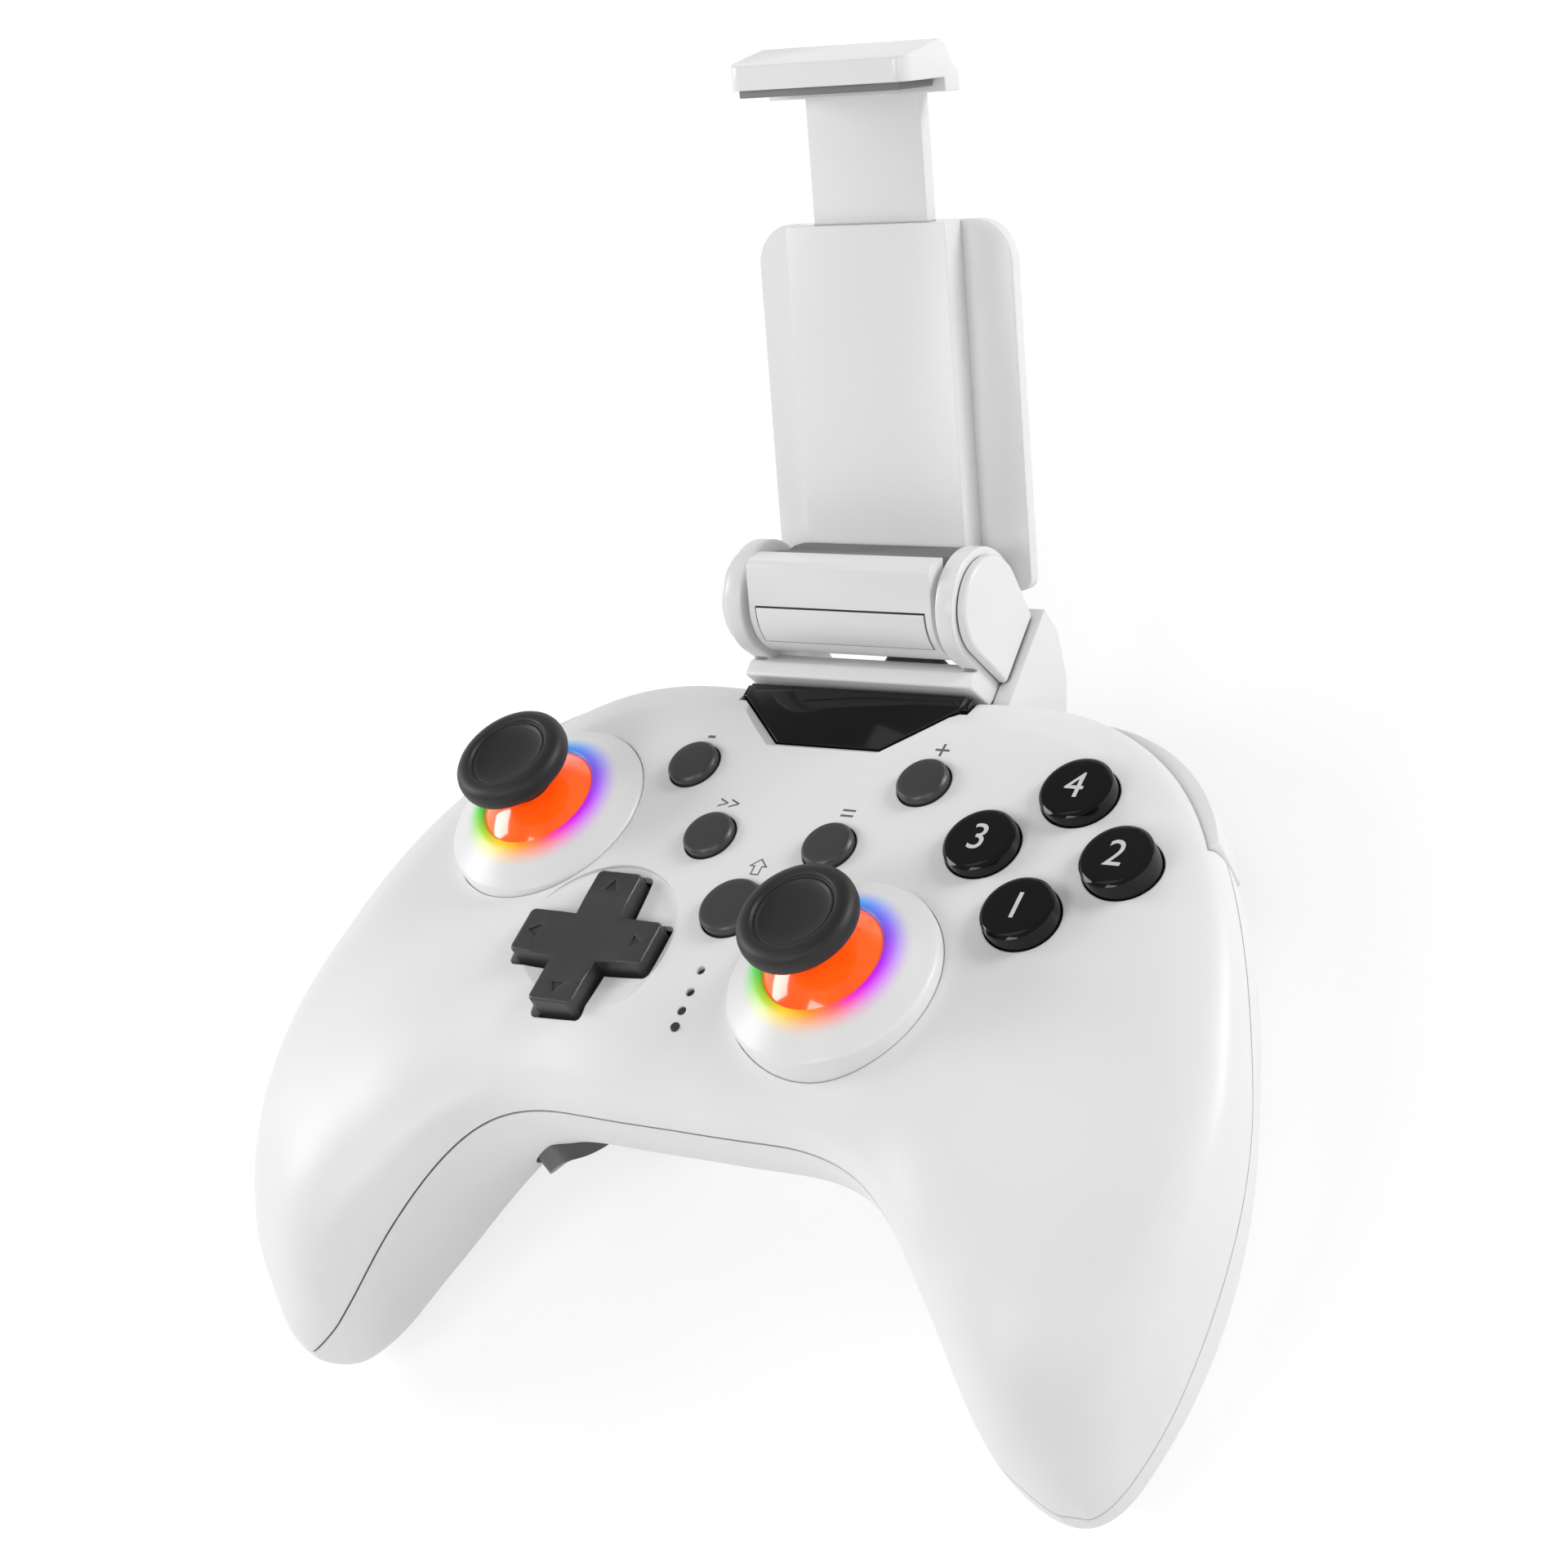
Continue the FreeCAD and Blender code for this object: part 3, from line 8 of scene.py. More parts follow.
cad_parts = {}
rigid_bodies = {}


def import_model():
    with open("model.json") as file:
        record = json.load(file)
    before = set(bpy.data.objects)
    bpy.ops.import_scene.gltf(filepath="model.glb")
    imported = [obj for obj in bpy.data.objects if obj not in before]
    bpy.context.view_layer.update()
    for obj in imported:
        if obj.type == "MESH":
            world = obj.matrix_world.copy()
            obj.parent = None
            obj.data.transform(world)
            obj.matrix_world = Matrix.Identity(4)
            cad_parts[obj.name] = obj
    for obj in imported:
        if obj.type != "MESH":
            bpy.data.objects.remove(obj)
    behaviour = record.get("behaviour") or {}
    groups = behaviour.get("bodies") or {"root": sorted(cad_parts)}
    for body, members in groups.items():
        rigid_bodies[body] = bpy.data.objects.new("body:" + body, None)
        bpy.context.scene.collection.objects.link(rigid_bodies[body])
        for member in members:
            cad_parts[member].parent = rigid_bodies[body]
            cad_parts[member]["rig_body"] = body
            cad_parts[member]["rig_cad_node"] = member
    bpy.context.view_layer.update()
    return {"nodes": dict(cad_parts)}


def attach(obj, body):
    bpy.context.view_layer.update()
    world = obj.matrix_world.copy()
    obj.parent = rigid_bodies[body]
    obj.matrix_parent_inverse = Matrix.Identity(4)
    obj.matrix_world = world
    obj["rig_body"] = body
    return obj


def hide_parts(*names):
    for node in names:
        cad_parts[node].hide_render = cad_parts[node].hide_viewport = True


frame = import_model()
nodes = frame["nodes"]
mm = 0.001

# Pieces on the face are modelled in the face's own frame, x right, y away, z out of the face,
# and then set down on the table.
faceFrame = {
    "tilt": math.radians(8.5),  # the rear goes down by this when it stands
    "originY": 10.6099,
    "tableZ": -44.0206,
    "crown": 0.0005,  # the face falls away by this times x squared
}
weld = 1e-6  # points closer than this in metres become one
faceOrigin = Matrix.Translation((0, -faceFrame["originY"] * mm, -faceFrame["tableZ"] * mm))
faceMatrix = faceOrigin @ Matrix.Rotation(-faceFrame["tilt"], 4, "X")


def faceHeight(x):
    return -faceFrame["crown"] * x * x


def clearSelection():
    if bpy.context.object and bpy.context.object.mode != "OBJECT":
        bpy.ops.object.mode_set(mode="OBJECT")
    bpy.ops.object.select_all(action="DESELECT")


def chooseOnly(piece):
    clearSelection()
    piece.select_set(True)
    bpy.context.view_layer.objects.active = piece


def nameActive(name):
    piece = bpy.context.object
    piece.name = name
    piece.data.name = name
    return piece


def settle(piece, matrix):
    # puts a piece in its place and leaves its object at the origin
    piece.matrix_world = matrix @ piece.matrix_world
    chooseOnly(piece)
    bpy.ops.object.transform_apply(location=True, rotation=True, scale=True)
    return piece


def onFace(x, y, z):
    return faceMatrix @ Matrix.Translation((x * mm, y * mm, z * mm))


def copyPiece(piece, name):
    twin = piece.copy()
    twin.data = piece.data.copy()
    twin.name = name
    twin.data.name = name
    bpy.context.scene.collection.objects.link(twin)
    return twin


def applyModifier(piece, kind, **settings):
    chooseOnly(piece)
    modifier = piece.modifiers.new(kind.lower(), kind)
    for key, value in settings.items():
        setattr(modifier, key, value)
    bpy.ops.object.modifier_apply(modifier=modifier.name)
    return piece


def pickInEdit(piece, test, kind="FACE"):
    # selects faces, edges or vertices by their place or normal, in edit mode
    bpy.ops.mesh.select_mode(type=kind)
    bpy.ops.mesh.select_all(action="DESELECT")
    work = bmesh.from_edit_mesh(piece.data)
    parts = {"FACE": work.faces, "EDGE": work.edges, "VERT": work.verts}[kind]
    for part in parts:
        part.select = test(part)
    work.select_flush_mode()
    bmesh.update_edit_mesh(piece.data)


def editAll(piece):
    # opens a piece in edit mode with all of it selected
    chooseOnly(piece)
    bpy.ops.object.mode_set(mode="EDIT")
    bpy.ops.mesh.select_all(action="SELECT")


def finishShape(piece, angle=32):
    # closes doubles, turns the faces outwards and shades it
    editAll(piece)
    bpy.ops.mesh.remove_doubles(threshold=weld)
    bpy.ops.mesh.normals_make_consistent(inside=False)
    bpy.ops.object.mode_set(mode="OBJECT")
    bpy.ops.object.shade_smooth_by_angle(angle=math.radians(angle))
    return piece


def turnPiece(name, rings, isRing=False, steps=96, angle=32):
    # a round piece drawn up ring by ring from (radius, height) in millimetres
    clearSelection()
    radius, height = rings[0]
    bpy.ops.mesh.primitive_circle_add(
        vertices=steps, radius=radius * mm, fill_type="NOTHING" if isRing else "NGON",
        location=(0, 0, height * mm),
    )
    piece = nameActive(name)
    bpy.ops.object.mode_set(mode="EDIT")
    bpy.ops.mesh.select_mode(type="EDGE" if isRing else "FACE")
    bpy.ops.mesh.select_all(action="SELECT")
    for nextRadius, nextHeight in rings[1:]:
        rise = (nextHeight - height) * mm
        bpy.ops.mesh.extrude_region_move(TRANSFORM_OT_translate={"value": (0, 0, rise)})
        share = nextRadius / radius
        bpy.ops.transform.resize(value=(share, share, 1), center_override=(0, 0, 0))
        radius, height = nextRadius, nextHeight
    bpy.ops.object.mode_set(mode="OBJECT")
    return finishShape(piece, angle)


# How softenedCopy cleans and rounds: distances in metres, angles in degrees
softCopy = {"doubles": 2e-6, "flat": 1.0, "segments": 3, "edge": 30, "smooth": 40}


def softenedCopy(nodeName, width):
    # a copy of a solid with its edges rounded, which stands for it
    clearSelection()
    source = nodes[nodeName]
    piece = source.copy()
    piece.data = source.data.copy()
    piece.parent = None
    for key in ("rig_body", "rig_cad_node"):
        if key in piece:
            del piece[key]
    bpy.context.scene.collection.objects.link(piece)
    piece.name = nodeName + "_finished"
    piece.data.name = piece.name
    chooseOnly(piece)
    bpy.ops.mesh.customdata_custom_splitnormals_clear()
    bpy.ops.object.mode_set(mode="EDIT")
    bpy.ops.mesh.select_all(action="SELECT")
    bpy.ops.mesh.remove_doubles(threshold=softCopy["doubles"])
    bpy.ops.mesh.dissolve_limited(angle_limit=math.radians(softCopy["flat"]))
    bpy.ops.object.mode_set(mode="OBJECT")
    applyModifier(
        piece, "BEVEL", width=width * mm, segments=softCopy["segments"], limit_method="ANGLE",
        angle_limit=math.radians(softCopy["edge"]), use_clamp_overlap=True, miter_outer="MITER_ARC",
    )
    bpy.ops.object.shade_smooth_by_angle(angle=math.radians(softCopy["smooth"]))
    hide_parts(nodeName)
    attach(piece, source["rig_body"])
    return piece


print("stage: camera and light")
view = {
    "place": (0.28513, -0.18105, 0.39854),
    "right": (0.81653, 0.35141, -0.45804),
    "up": (-0.06786, 0.84632, 0.52833),
    "ahead": (-0.57330, 0.40032, -0.71490),
    "lens": 79.08,
    "sensor": 36,
    "clip": (0.01, 20),
}
cameraData = bpy.data.cameras.new("camera")
camera = bpy.data.objects.new("camera", cameraData)
bpy.context.scene.collection.objects.link(camera)
right, up, ahead = Vector(view["right"]), Vector(view["up"]), Vector(view["ahead"])
camera.matrix_world = Matrix(
    (
        (right.x, up.x, -ahead.x, view["place"][0]),
        (right.y, up.y, -ahead.y, view["place"][1]),
        (right.z, up.z, -ahead.z, view["place"][2]),
        (0, 0, 0, 1),
    )
)
cameraData.lens = view["lens"]
cameraData.sensor_width = view["sensor"]
cameraData.clip_start, cameraData.clip_end = view["clip"]
bpy.context.scene.camera = camera
bpy.context.scene.view_settings.view_transform = "Standard"

lamps = {
    "topLamp": {"place": (-0.42, 0.20, 1.15), "size": 0.60, "power": 0.9},
    "leftLamp": {"place": (-1.0, -0.05, 0.60), "size": 0.45, "power": 5.0},
    "rearRightLamp": {"place": (0.90, 0.75, 0.36), "size": 0.45, "power": 7.0},
    "frontLamp": {"place": (-0.20, -0.70, 1.05), "size": 0.45, "power": 3.7},
    "frontRightLamp": {"place": (0.60, -0.60, 0.90), "size": 0.40, "power": 2.0},
}
lampTarget = Vector((0, 0, 0.03))
for lampName, lampValues in lamps.items():
    lampData = bpy.data.lights.new(lampName, "AREA")
    lampData.shape = "SQUARE"
    lampData.size = lampValues["size"]
    lampData.energy = lampValues["power"]
    lamp = bpy.data.objects.new(lampName, lampData)
    lamp.location = lampValues["place"]
    lamp.rotation_euler = (lampTarget - lamp.location).to_track_quat("-Z", "Y").to_euler()
    bpy.context.scene.collection.objects.link(lamp)


def addRange(tree, source, before, after, kind="LINEAR"):
    # carries a value from one span to another
    span = tree.nodes.new("ShaderNodeMapRange")
    span.interpolation_type = kind
    span.inputs["From Min"].default_value, span.inputs["From Max"].default_value = before
    span.inputs["To Min"].default_value, span.inputs["To Max"].default_value = after
    tree.links.new(source, span.inputs["Value"])
    return span.outputs["Result"]


# The room is white at the height of the object and dims overhead
roomLight = {"levels": (1.0, 0.25), "heights": (0.12, 0.45)}
world = bpy.data.worlds.new("studio")
bpy.context.scene.world = world
world.use_nodes = True
room = world.node_tree
roomShader = room.nodes["Background"]
roomShader.inputs["Color"].default_value = (1, 1, 1, 1)
direction = room.nodes.new("ShaderNodeSeparateXYZ")
room.links.new(room.nodes.new("ShaderNodeTexCoord").outputs["Object"], direction.inputs["Vector"])
dimming = addRange(
    room, direction.outputs["Z"], roomLight["heights"], roomLight["levels"], "SMOOTHSTEP"
)
room.links.new(dimming, roomShader.inputs["Strength"])


def newMaterial(name):
    material = bpy.data.materials.new(name)
    material.use_nodes = True
    return material, material.node_tree, material.node_tree.nodes["Principled BSDF"]


def addNoise(tree, scale, detail=3.0, source=None):
    noise = tree.nodes.new("ShaderNodeTexNoise")
    noise.inputs["Scale"].default_value = scale
    noise.inputs["Detail"].default_value = detail
    if source is None:
        source = tree.nodes.new("ShaderNodeTexCoord").outputs["Object"]
    tree.links.new(source, noise.inputs["Vector"])
    return noise


def addRamp(tree, source, stops, interpolation="LINEAR"):
    ramp = tree.nodes.new("ShaderNodeValToRGB")
    ramp.color_ramp.interpolation = interpolation
    while len(ramp.color_ramp.elements) < len(stops):
        ramp.color_ramp.elements.new(0.5)
    for element, (spot, colour) in zip(ramp.color_ramp.elements, stops):
        element.position = spot
        element.color = (*colour, 1)
    tree.links.new(source, ramp.inputs["Fac"])
    return ramp


def addBump(tree, source, shader, height, normal=None):
    bump = tree.nodes.new("ShaderNodeBump")
    bump.inputs["Distance"].default_value = height
    bump.inputs["Strength"].default_value = 1.0
    tree.links.new(source, bump.inputs["Height"])
    if normal is not None:
        tree.links.new(normal, bump.inputs["Normal"])
    tree.links.new(bump.outputs["Normal"], shader.inputs["Normal"])
    return bump


# Painted shade for narrow gaps: how far the colour darkens as a gap closes in
paintedCreviceShade = ((0.30, (0.22, 0.22, 0.22)), (0.62, (1.0, 1.0, 1.0)))


def mouldedMaterial(name, values):
    # moulded plastic or rubber: a fine grain, a slow drift of colour and of shine, and where asked,
    # painted shade that darkens the colour in narrow gaps
    material, tree, shader = newMaterial(name)
    drift = addNoise(tree, values.get("driftScale", 30), 2)
    ramp = addRamp(tree, drift.outputs["Fac"], ((0.35, values["colour"]), (0.65, values["second"])))
    colour = ramp.outputs["Color"]
    if values.get("paintedShadeReach"):
        # painted shade: narrow gaps and seams are darkened in the colour by how closed in they are
        enclosureProbe = tree.nodes.new("ShaderNodeAmbientOcclusion")
        enclosureProbe.samples = 8
        enclosureProbe.inputs["Distance"].default_value = values["paintedShadeReach"] * mm
        paintedShade = addRamp(tree, enclosureProbe.outputs["AO"], paintedCreviceShade)
        shade = tree.nodes.new("ShaderNodeMix")
        shade.data_type = "RGBA"
        shade.blend_type = "MULTIPLY"
        shade.inputs["Factor"].default_value = 1.0
        tree.links.new(colour, shade.inputs["A"])
        tree.links.new(paintedShade.outputs["Color"], shade.inputs["B"])
        colour = shade.outputs["Result"]
    tree.links.new(colour, shader.inputs["Base Color"])
    grain = addNoise(tree, values["grainScale"], 2)
    shine = addRange(tree, grain.outputs["Fac"], (0.0, 1.0), values["rough"])
    tree.links.new(shine, shader.inputs["Roughness"])
    soft = None
    if values.get("softEdge"):
        edge = tree.nodes.new("ShaderNodeBevel")
        edge.samples = 4
        edge.inputs["Radius"].default_value = values["softEdge"] * mm
        soft = edge.outputs["Normal"]
    addBump(tree, grain.outputs["Fac"], shader, values["grainDepth"] * mm, soft)
    shader.inputs["Specular IOR Level"].default_value = values.get("specular", 0.5)
    if values.get("coat"):
        shader.inputs["Coat Weight"].default_value = values["coat"]
        shader.inputs["Coat Roughness"].default_value = values.get("coatRough", 0.05)
    return material


print("stage: finishes")
finishes = {
    # The white finishes darken their colour in narrow gaps as painted shade
    "white_shell": {
        "colour": (0.80, 0.80, 0.80), "second": (0.82, 0.82, 0.825), "rough": (0.36, 0.46),
        "grainScale": 2600, "grainDepth": 0.004, "softEdge": 0.3, "paintedShadeReach": 0.9,
    },
    "white_holder": {
        "colour": (0.78, 0.78, 0.78), "second": (0.80, 0.80, 0.805), "rough": (0.20, 0.28),
        "grainScale": 2600, "grainDepth": 0.002, "softEdge": 0.2, "paintedShadeReach": 0.9,
    },
    "gloss_black": {
        "colour": (0.006, 0.006, 0.007), "second": (0.009, 0.009, 0.010), "rough": (0.04, 0.08),
        "grainScale": 900, "grainDepth": 0.0004, "specular": 0.28,
    },
    "black_plastic": {
        "colour": (0.034, 0.034, 0.035), "second": (0.040, 0.040, 0.041), "rough": (0.32, 0.42),
        "specular": 0.65,
        "grainScale": 3200, "grainDepth": 0.006,
    },
    "black_rubber": {
        "colour": (0.010, 0.010, 0.0105), "second": (0.015, 0.015, 0.0155), "rough": (0.44, 0.56),
        "grainScale": 4200, "grainDepth": 0.010, "specular": 0.45,
    },
    "grey_rubber": {
        "colour": (0.16, 0.16, 0.165), "second": (0.20, 0.20, 0.205), "rough": (0.6, 0.75),
        "grainScale": 2400, "grainDepth": 0.012,
    },
    "inner_plastic": {
        "colour": (0.03, 0.03, 0.032), "second": (0.045, 0.045, 0.047), "rough": (0.45, 0.6),
        "grainScale": 2000, "grainDepth": 0.006,
    },
}
materials = {name: mouldedMaterial(name + "_finish", values) for name, values in finishes.items()}


steel = {
    "stretch": (400, 6000, 6000), "rough": (0.22, 0.4), "lineDepth": 0.002,
    "shades": ((0.3, (0.42, 0.42, 0.43)), (0.7, (0.60, 0.60, 0.60))),
}
board = {
    "scale": 260, "gap": 0.03, "rough": 0.35, "runDepth": 0.02,
    "lacquer": (0.006, 0.09, 0.03, 1), "second": (0.008, 0.11, 0.04, 1), "runs": (0.03, 0.22, 0.08, 1),
}
wrap = {
    "scale": 90, "rough": 0.38, "metal": 0.8, "creaseDepth": 0.15,
    "shades": ((0.3, (0.42, 0.44, 0.47)), (0.7, (0.58, 0.60, 0.62))),
}


def steelMaterial():
    # turned steel with fine lines across it
    material, tree, shader = newMaterial("steel_finish")
    stretch = tree.nodes.new("ShaderNodeMapping")
    stretch.inputs["Scale"].default_value = steel["stretch"]
    tree.links.new(tree.nodes.new("ShaderNodeTexCoord").outputs["Object"], stretch.inputs["Vector"])
    lines = addNoise(tree, 1.0, 3, stretch.outputs["Vector"])
    ramp = addRamp(tree, lines.outputs["Fac"], steel["shades"])
    tree.links.new(ramp.outputs["Color"], shader.inputs["Base Color"])
    shader.inputs["Metallic"].default_value = 1.0
    shine = addRange(tree, lines.outputs["Fac"], (0.0, 1.0), steel["rough"])
    tree.links.new(shine, shader.inputs["Roughness"])
    addBump(tree, lines.outputs["Fac"], shader, steel["lineDepth"] * mm)
    return material


def boardMaterial():
    # green lacquer over copper runs
    material, tree, shader = newMaterial("board_finish")
    coordinates = tree.nodes.new("ShaderNodeTexCoord").outputs["Object"]
    runs = tree.nodes.new("ShaderNodeTexBrick")
    runs.inputs["Scale"].default_value = board["scale"]
    runs.inputs["Mortar Size"].default_value = board["gap"]
    runs.inputs["Color1"].default_value = board["lacquer"]
    runs.inputs["Color2"].default_value = board["second"]
    runs.inputs["Mortar"].default_value = board["runs"]
    tree.links.new(coordinates, runs.inputs["Vector"])
    tree.links.new(runs.outputs["Color"], shader.inputs["Base Color"])
    shader.inputs["Roughness"].default_value = board["rough"]
    addBump(tree, runs.outputs["Fac"], shader, board["runDepth"] * mm)
    return material


def wrapMaterial():
    # a foil wrapper with slight creases
    material, tree, shader = newMaterial("wrap_finish")
    crease = addNoise(tree, wrap["scale"], 4)
    ramp = addRamp(tree, crease.outputs["Fac"], wrap["shades"])
    tree.links.new(ramp.outputs["Color"], shader.inputs["Base Color"])
    shader.inputs["Metallic"].default_value = wrap["metal"]
    shader.inputs["Roughness"].default_value = wrap["rough"]
    addBump(tree, crease.outputs["Fac"], shader, wrap["creaseDepth"] * mm)
    return material


materials["steel"] = steelMaterial()
materials["green_board"] = boardMaterial()
materials["cell_wrap"] = wrapMaterial()

# The lit ring round each stick, by the angle round the stick and the distance from it
glow = {
    "colours": (
        (0.000, (0.50, 0.030, 0.95)), (0.085, (0.30, 0.100, 0.95)), (0.200, (0.09, 0.26, 0.90)),
        (0.310, (0.04, 0.50, 0.70)), (0.430, (0.03, 0.60, 0.28)), (0.550, (0.05, 0.60, 0.08)),
        (0.650, (0.42, 0.68, 0.03)), (0.728, (0.98, 0.60, 0.02)), (0.790, (1.00, 0.30, 0.01)),
        (0.850, (1.00, 0.12, 0.12)), (0.885, (0.95, 0.05, 0.45)), (0.940, (0.72, 0.02, 0.90)),
        (1.000, (0.50, 0.030, 0.95)),
    ),
    "inner": 9.6,
    "outer": 13.0,
    "strength": 0.28,
    "body": (0.80, 0.80, 0.80, 1),
    "rough": 0.34,
    "grainDepth": 0.003,
}
skirt = {
    "shades": ((0.35, (0.95, 0.075, 0.003)), (0.65, (1.0, 0.115, 0.006))),
    "strength": 0.55, "rough": 0.14, "coat": 0.8, "coatRough": 0.04,
}


def collarMaterial(name, x, y, z):
    material, tree, shader = newMaterial(name)
    place = tree.nodes.new("ShaderNodeMapping")
    place.vector_type = "TEXTURE"
    place.inputs["Location"].default_value = faceMatrix @ Vector((x * mm, y * mm, z * mm))
    place.inputs["Rotation"].default_value = (-faceFrame["tilt"], 0, 0)
    tree.links.new(tree.nodes.new("ShaderNodeTexCoord").outputs["Object"], place.inputs["Vector"])
    split = tree.nodes.new("ShaderNodeSeparateXYZ")
    tree.links.new(place.outputs["Vector"], split.inputs["Vector"])
    turn = tree.nodes.new("ShaderNodeMath")
    turn.operation = "ARCTAN2"
    tree.links.new(split.outputs["Y"], turn.inputs[0])
    tree.links.new(split.outputs["X"], turn.inputs[1])
    turns = tree.nodes.new("ShaderNodeMath")
    turns.operation = "DIVIDE"
    turns.inputs[1].default_value = 2 * math.pi
    tree.links.new(turn.outputs[0], turns.inputs[0])
    share = tree.nodes.new("ShaderNodeMath")
    share.operation = "FRACT"
    tree.links.new(turns.outputs[0], share.inputs[0])
    colours = addRamp(tree, share.outputs[0], glow["colours"])
    flat = tree.nodes.new("ShaderNodeCombineXYZ")
    tree.links.new(split.outputs["X"], flat.inputs["X"])
    tree.links.new(split.outputs["Y"], flat.inputs["Y"])
    away = tree.nodes.new("ShaderNodeVectorMath")
    away.operation = "LENGTH"
    tree.links.new(flat.outputs["Vector"], away.inputs[0])
    ends = (glow["inner"] * mm, glow["outer"] * mm)
    fade = addRange(tree, away.outputs["Value"], ends, (1.0, 0.0), "SMOOTHSTEP")
    body = tree.nodes.new("ShaderNodeMix")
    body.data_type = "RGBA"
    body.inputs["A"].default_value = glow["body"]
    tree.links.new(fade, body.inputs["Factor"])
    tree.links.new(colours.outputs["Color"], body.inputs["B"])
    tree.links.new(body.outputs["Result"], shader.inputs["Base Color"])
    lit = tree.nodes.new("ShaderNodeVectorMath")
    lit.operation = "SCALE"
    tree.links.new(colours.outputs["Color"], lit.inputs[0])
    tree.links.new(fade, lit.inputs["Scale"])
    tree.links.new(lit.outputs["Vector"], shader.inputs["Emission Color"])
    shader.inputs["Emission Strength"].default_value = glow["strength"]
    shader.inputs["Roughness"].default_value = glow["rough"]
    grain = addNoise(tree, 2400, 2)
    addBump(tree, grain.outputs["Fac"], shader, glow["grainDepth"] * mm)
    return material


def skirtMaterial():
    # clear orange plastic lit from below, under a polished skin
    material, tree, shader = newMaterial("skirt_finish")
    cloud = addNoise(tree, 120, 2)
    ramp = addRamp(tree, cloud.outputs["Fac"], skirt["shades"])
    tree.links.new(ramp.outputs["Color"], shader.inputs["Base Color"])
    tree.links.new(ramp.outputs["Color"], shader.inputs["Emission Color"])
    shader.inputs["Emission Strength"].default_value = skirt["strength"]
    shader.inputs["Roughness"].default_value = skirt["rough"]
    shader.inputs["Coat Weight"].default_value = skirt["coat"]
    shader.inputs["Coat Roughness"].default_value = skirt["coatRough"]
    return material


def printMaterial(name, colour):
    # printed ink, slightly uneven
    material, tree, shader = newMaterial(name)
    speck = addNoise(tree, 3000, 2)
    brighter = tuple(1.12 * part for part in colour)
    ramp = addRamp(tree, speck.outputs["Fac"], ((0.3, colour), (0.7, brighter)))
    tree.links.new(ramp.outputs["Color"], shader.inputs["Base Color"])
    shader.inputs["Roughness"].default_value = 0.5
    return material


materials["orange_skirt"] = skirtMaterial()
greyInk = printMaterial("grey_ink", (0.13, 0.13, 0.135))
paleInk = printMaterial("pale_ink", (0.58, 0.58, 0.57))

sticks = {
    "left": {"x": -42.4, "y": 22.4, "lift": -0.6634, "seat": -5.7634},
    "right": {"x": 21.7, "y": -1.1, "lift": 0.0, "seat": -5.1},
}
for side, stick in sticks.items():
    finishName = side + "_collar_finish"
    materials[side + "_collar"] = collarMaterial(finishName, stick["x"], stick["y"], stick["lift"])

slotNames = {nodeName: node.data.materials[0].name for nodeName, node in nodes.items()}
for nodeName, node in nodes.items():
    chosen = materials.get(slotNames[nodeName])
    if nodeName.endswith("stick_collar"):
        chosen = materials[nodeName.split("_")[0] + "_collar"]
    node.material_slots[0].material = chosen


print("stage: stick caps and collars")
stickCap = {
    "rings": (
        (3.2, 6.95), (4.2, 6.95), (4.25, 9.7), (4.7, 10.15),  # the neck
        (7.2, 10.2), (8.1, 10.4), (8.6, 10.85), (8.83, 11.4), (8.9, 12.1), (8.85, 12.75), (8.66, 13.3),
        (8.3, 13.74), (7.8, 14.03), (7.3, 14.16), (6.75, 14.2), (6.45, 14.17),  # the rim
        (6.28, 14.05), (6.18, 13.83), (6.08, 13.68), (5.95, 13.63), (5.85, 13.69),  # the groove
        (5.72, 13.74), (5.58, 13.69), (5.45, 13.51), (5.2, 13.41), (4.2, 13.21), (3.0, 13.07),
        (1.6, 12.99), (0.4, 12.97),  # the hollow for the thumb
    ),
}
firstCap = turnPiece("stick_cap_model", stickCap["rings"], steps=128, angle=60)
for side, stick in sticks.items():
    cap = copyPiece(firstCap, side + "_stick_cap_rubber")
    settle(cap, onFace(stick["x"], stick["y"], stick["lift"]))
    cap.data.materials.append(materials["black_rubber"])
    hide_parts(side + "_stick_cap")
    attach(cap, side + "_stick")
bpy.data.objects.remove(firstCap)

collar = {
    "flange": 0.8,
    "reach": 16.55,
    "clear": 15.05,  # the inside keeps clear of the skirt by this radius round the pivot
    "pivot": -8.0,
    "angles": (41, 45, 50, 55, 60, 65, 70, 75),
    "margin": 0.05,
    "outside": (
        (15.95, 0.0), (15.9, 0.35), (15.72, 0.62), (15.35, 0.85), (14.7, 1.2), (13.9, 1.67), (13.1, 2.16),
        (12.3, 2.65), (11.6, 3.06), (11.0, 3.4), (10.5, 3.64), (10.1, 3.8), (9.75, 3.88), (9.45, 3.9),
        (9.2, 3.86), (9.02, 3.74), (8.95, 3.5),
    ),
}
for side, stick in sticks.items():
    seat = stick["seat"] - stick["lift"]
    low = seat - collar["flange"]
    inside = []
    for angle in collar["angles"]:
        spread = math.radians(angle)
        reach = collar["clear"] * math.sin(spread)
        level = collar["pivot"] + collar["clear"] * math.cos(spread)
        if level > low + collar["margin"]:
            inside.append((reach, level))
    foot = (inside[-1][0], low)
    rings = [foot, (collar["reach"], low), (collar["reach"], seat), (collar["outside"][0][0], seat)]
    rings += list(collar["outside"]) + inside + [foot]
    piece = turnPiece(side + "_stick_collar_frosted", rings, isRing=True, steps=128, angle=45)
    settle(piece, onFace(stick["x"], stick["y"], stick["lift"]))
    piece.data.materials.append(materials[side + "_collar"])
    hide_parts(side + "_stick_collar")
    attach(piece, "housing")


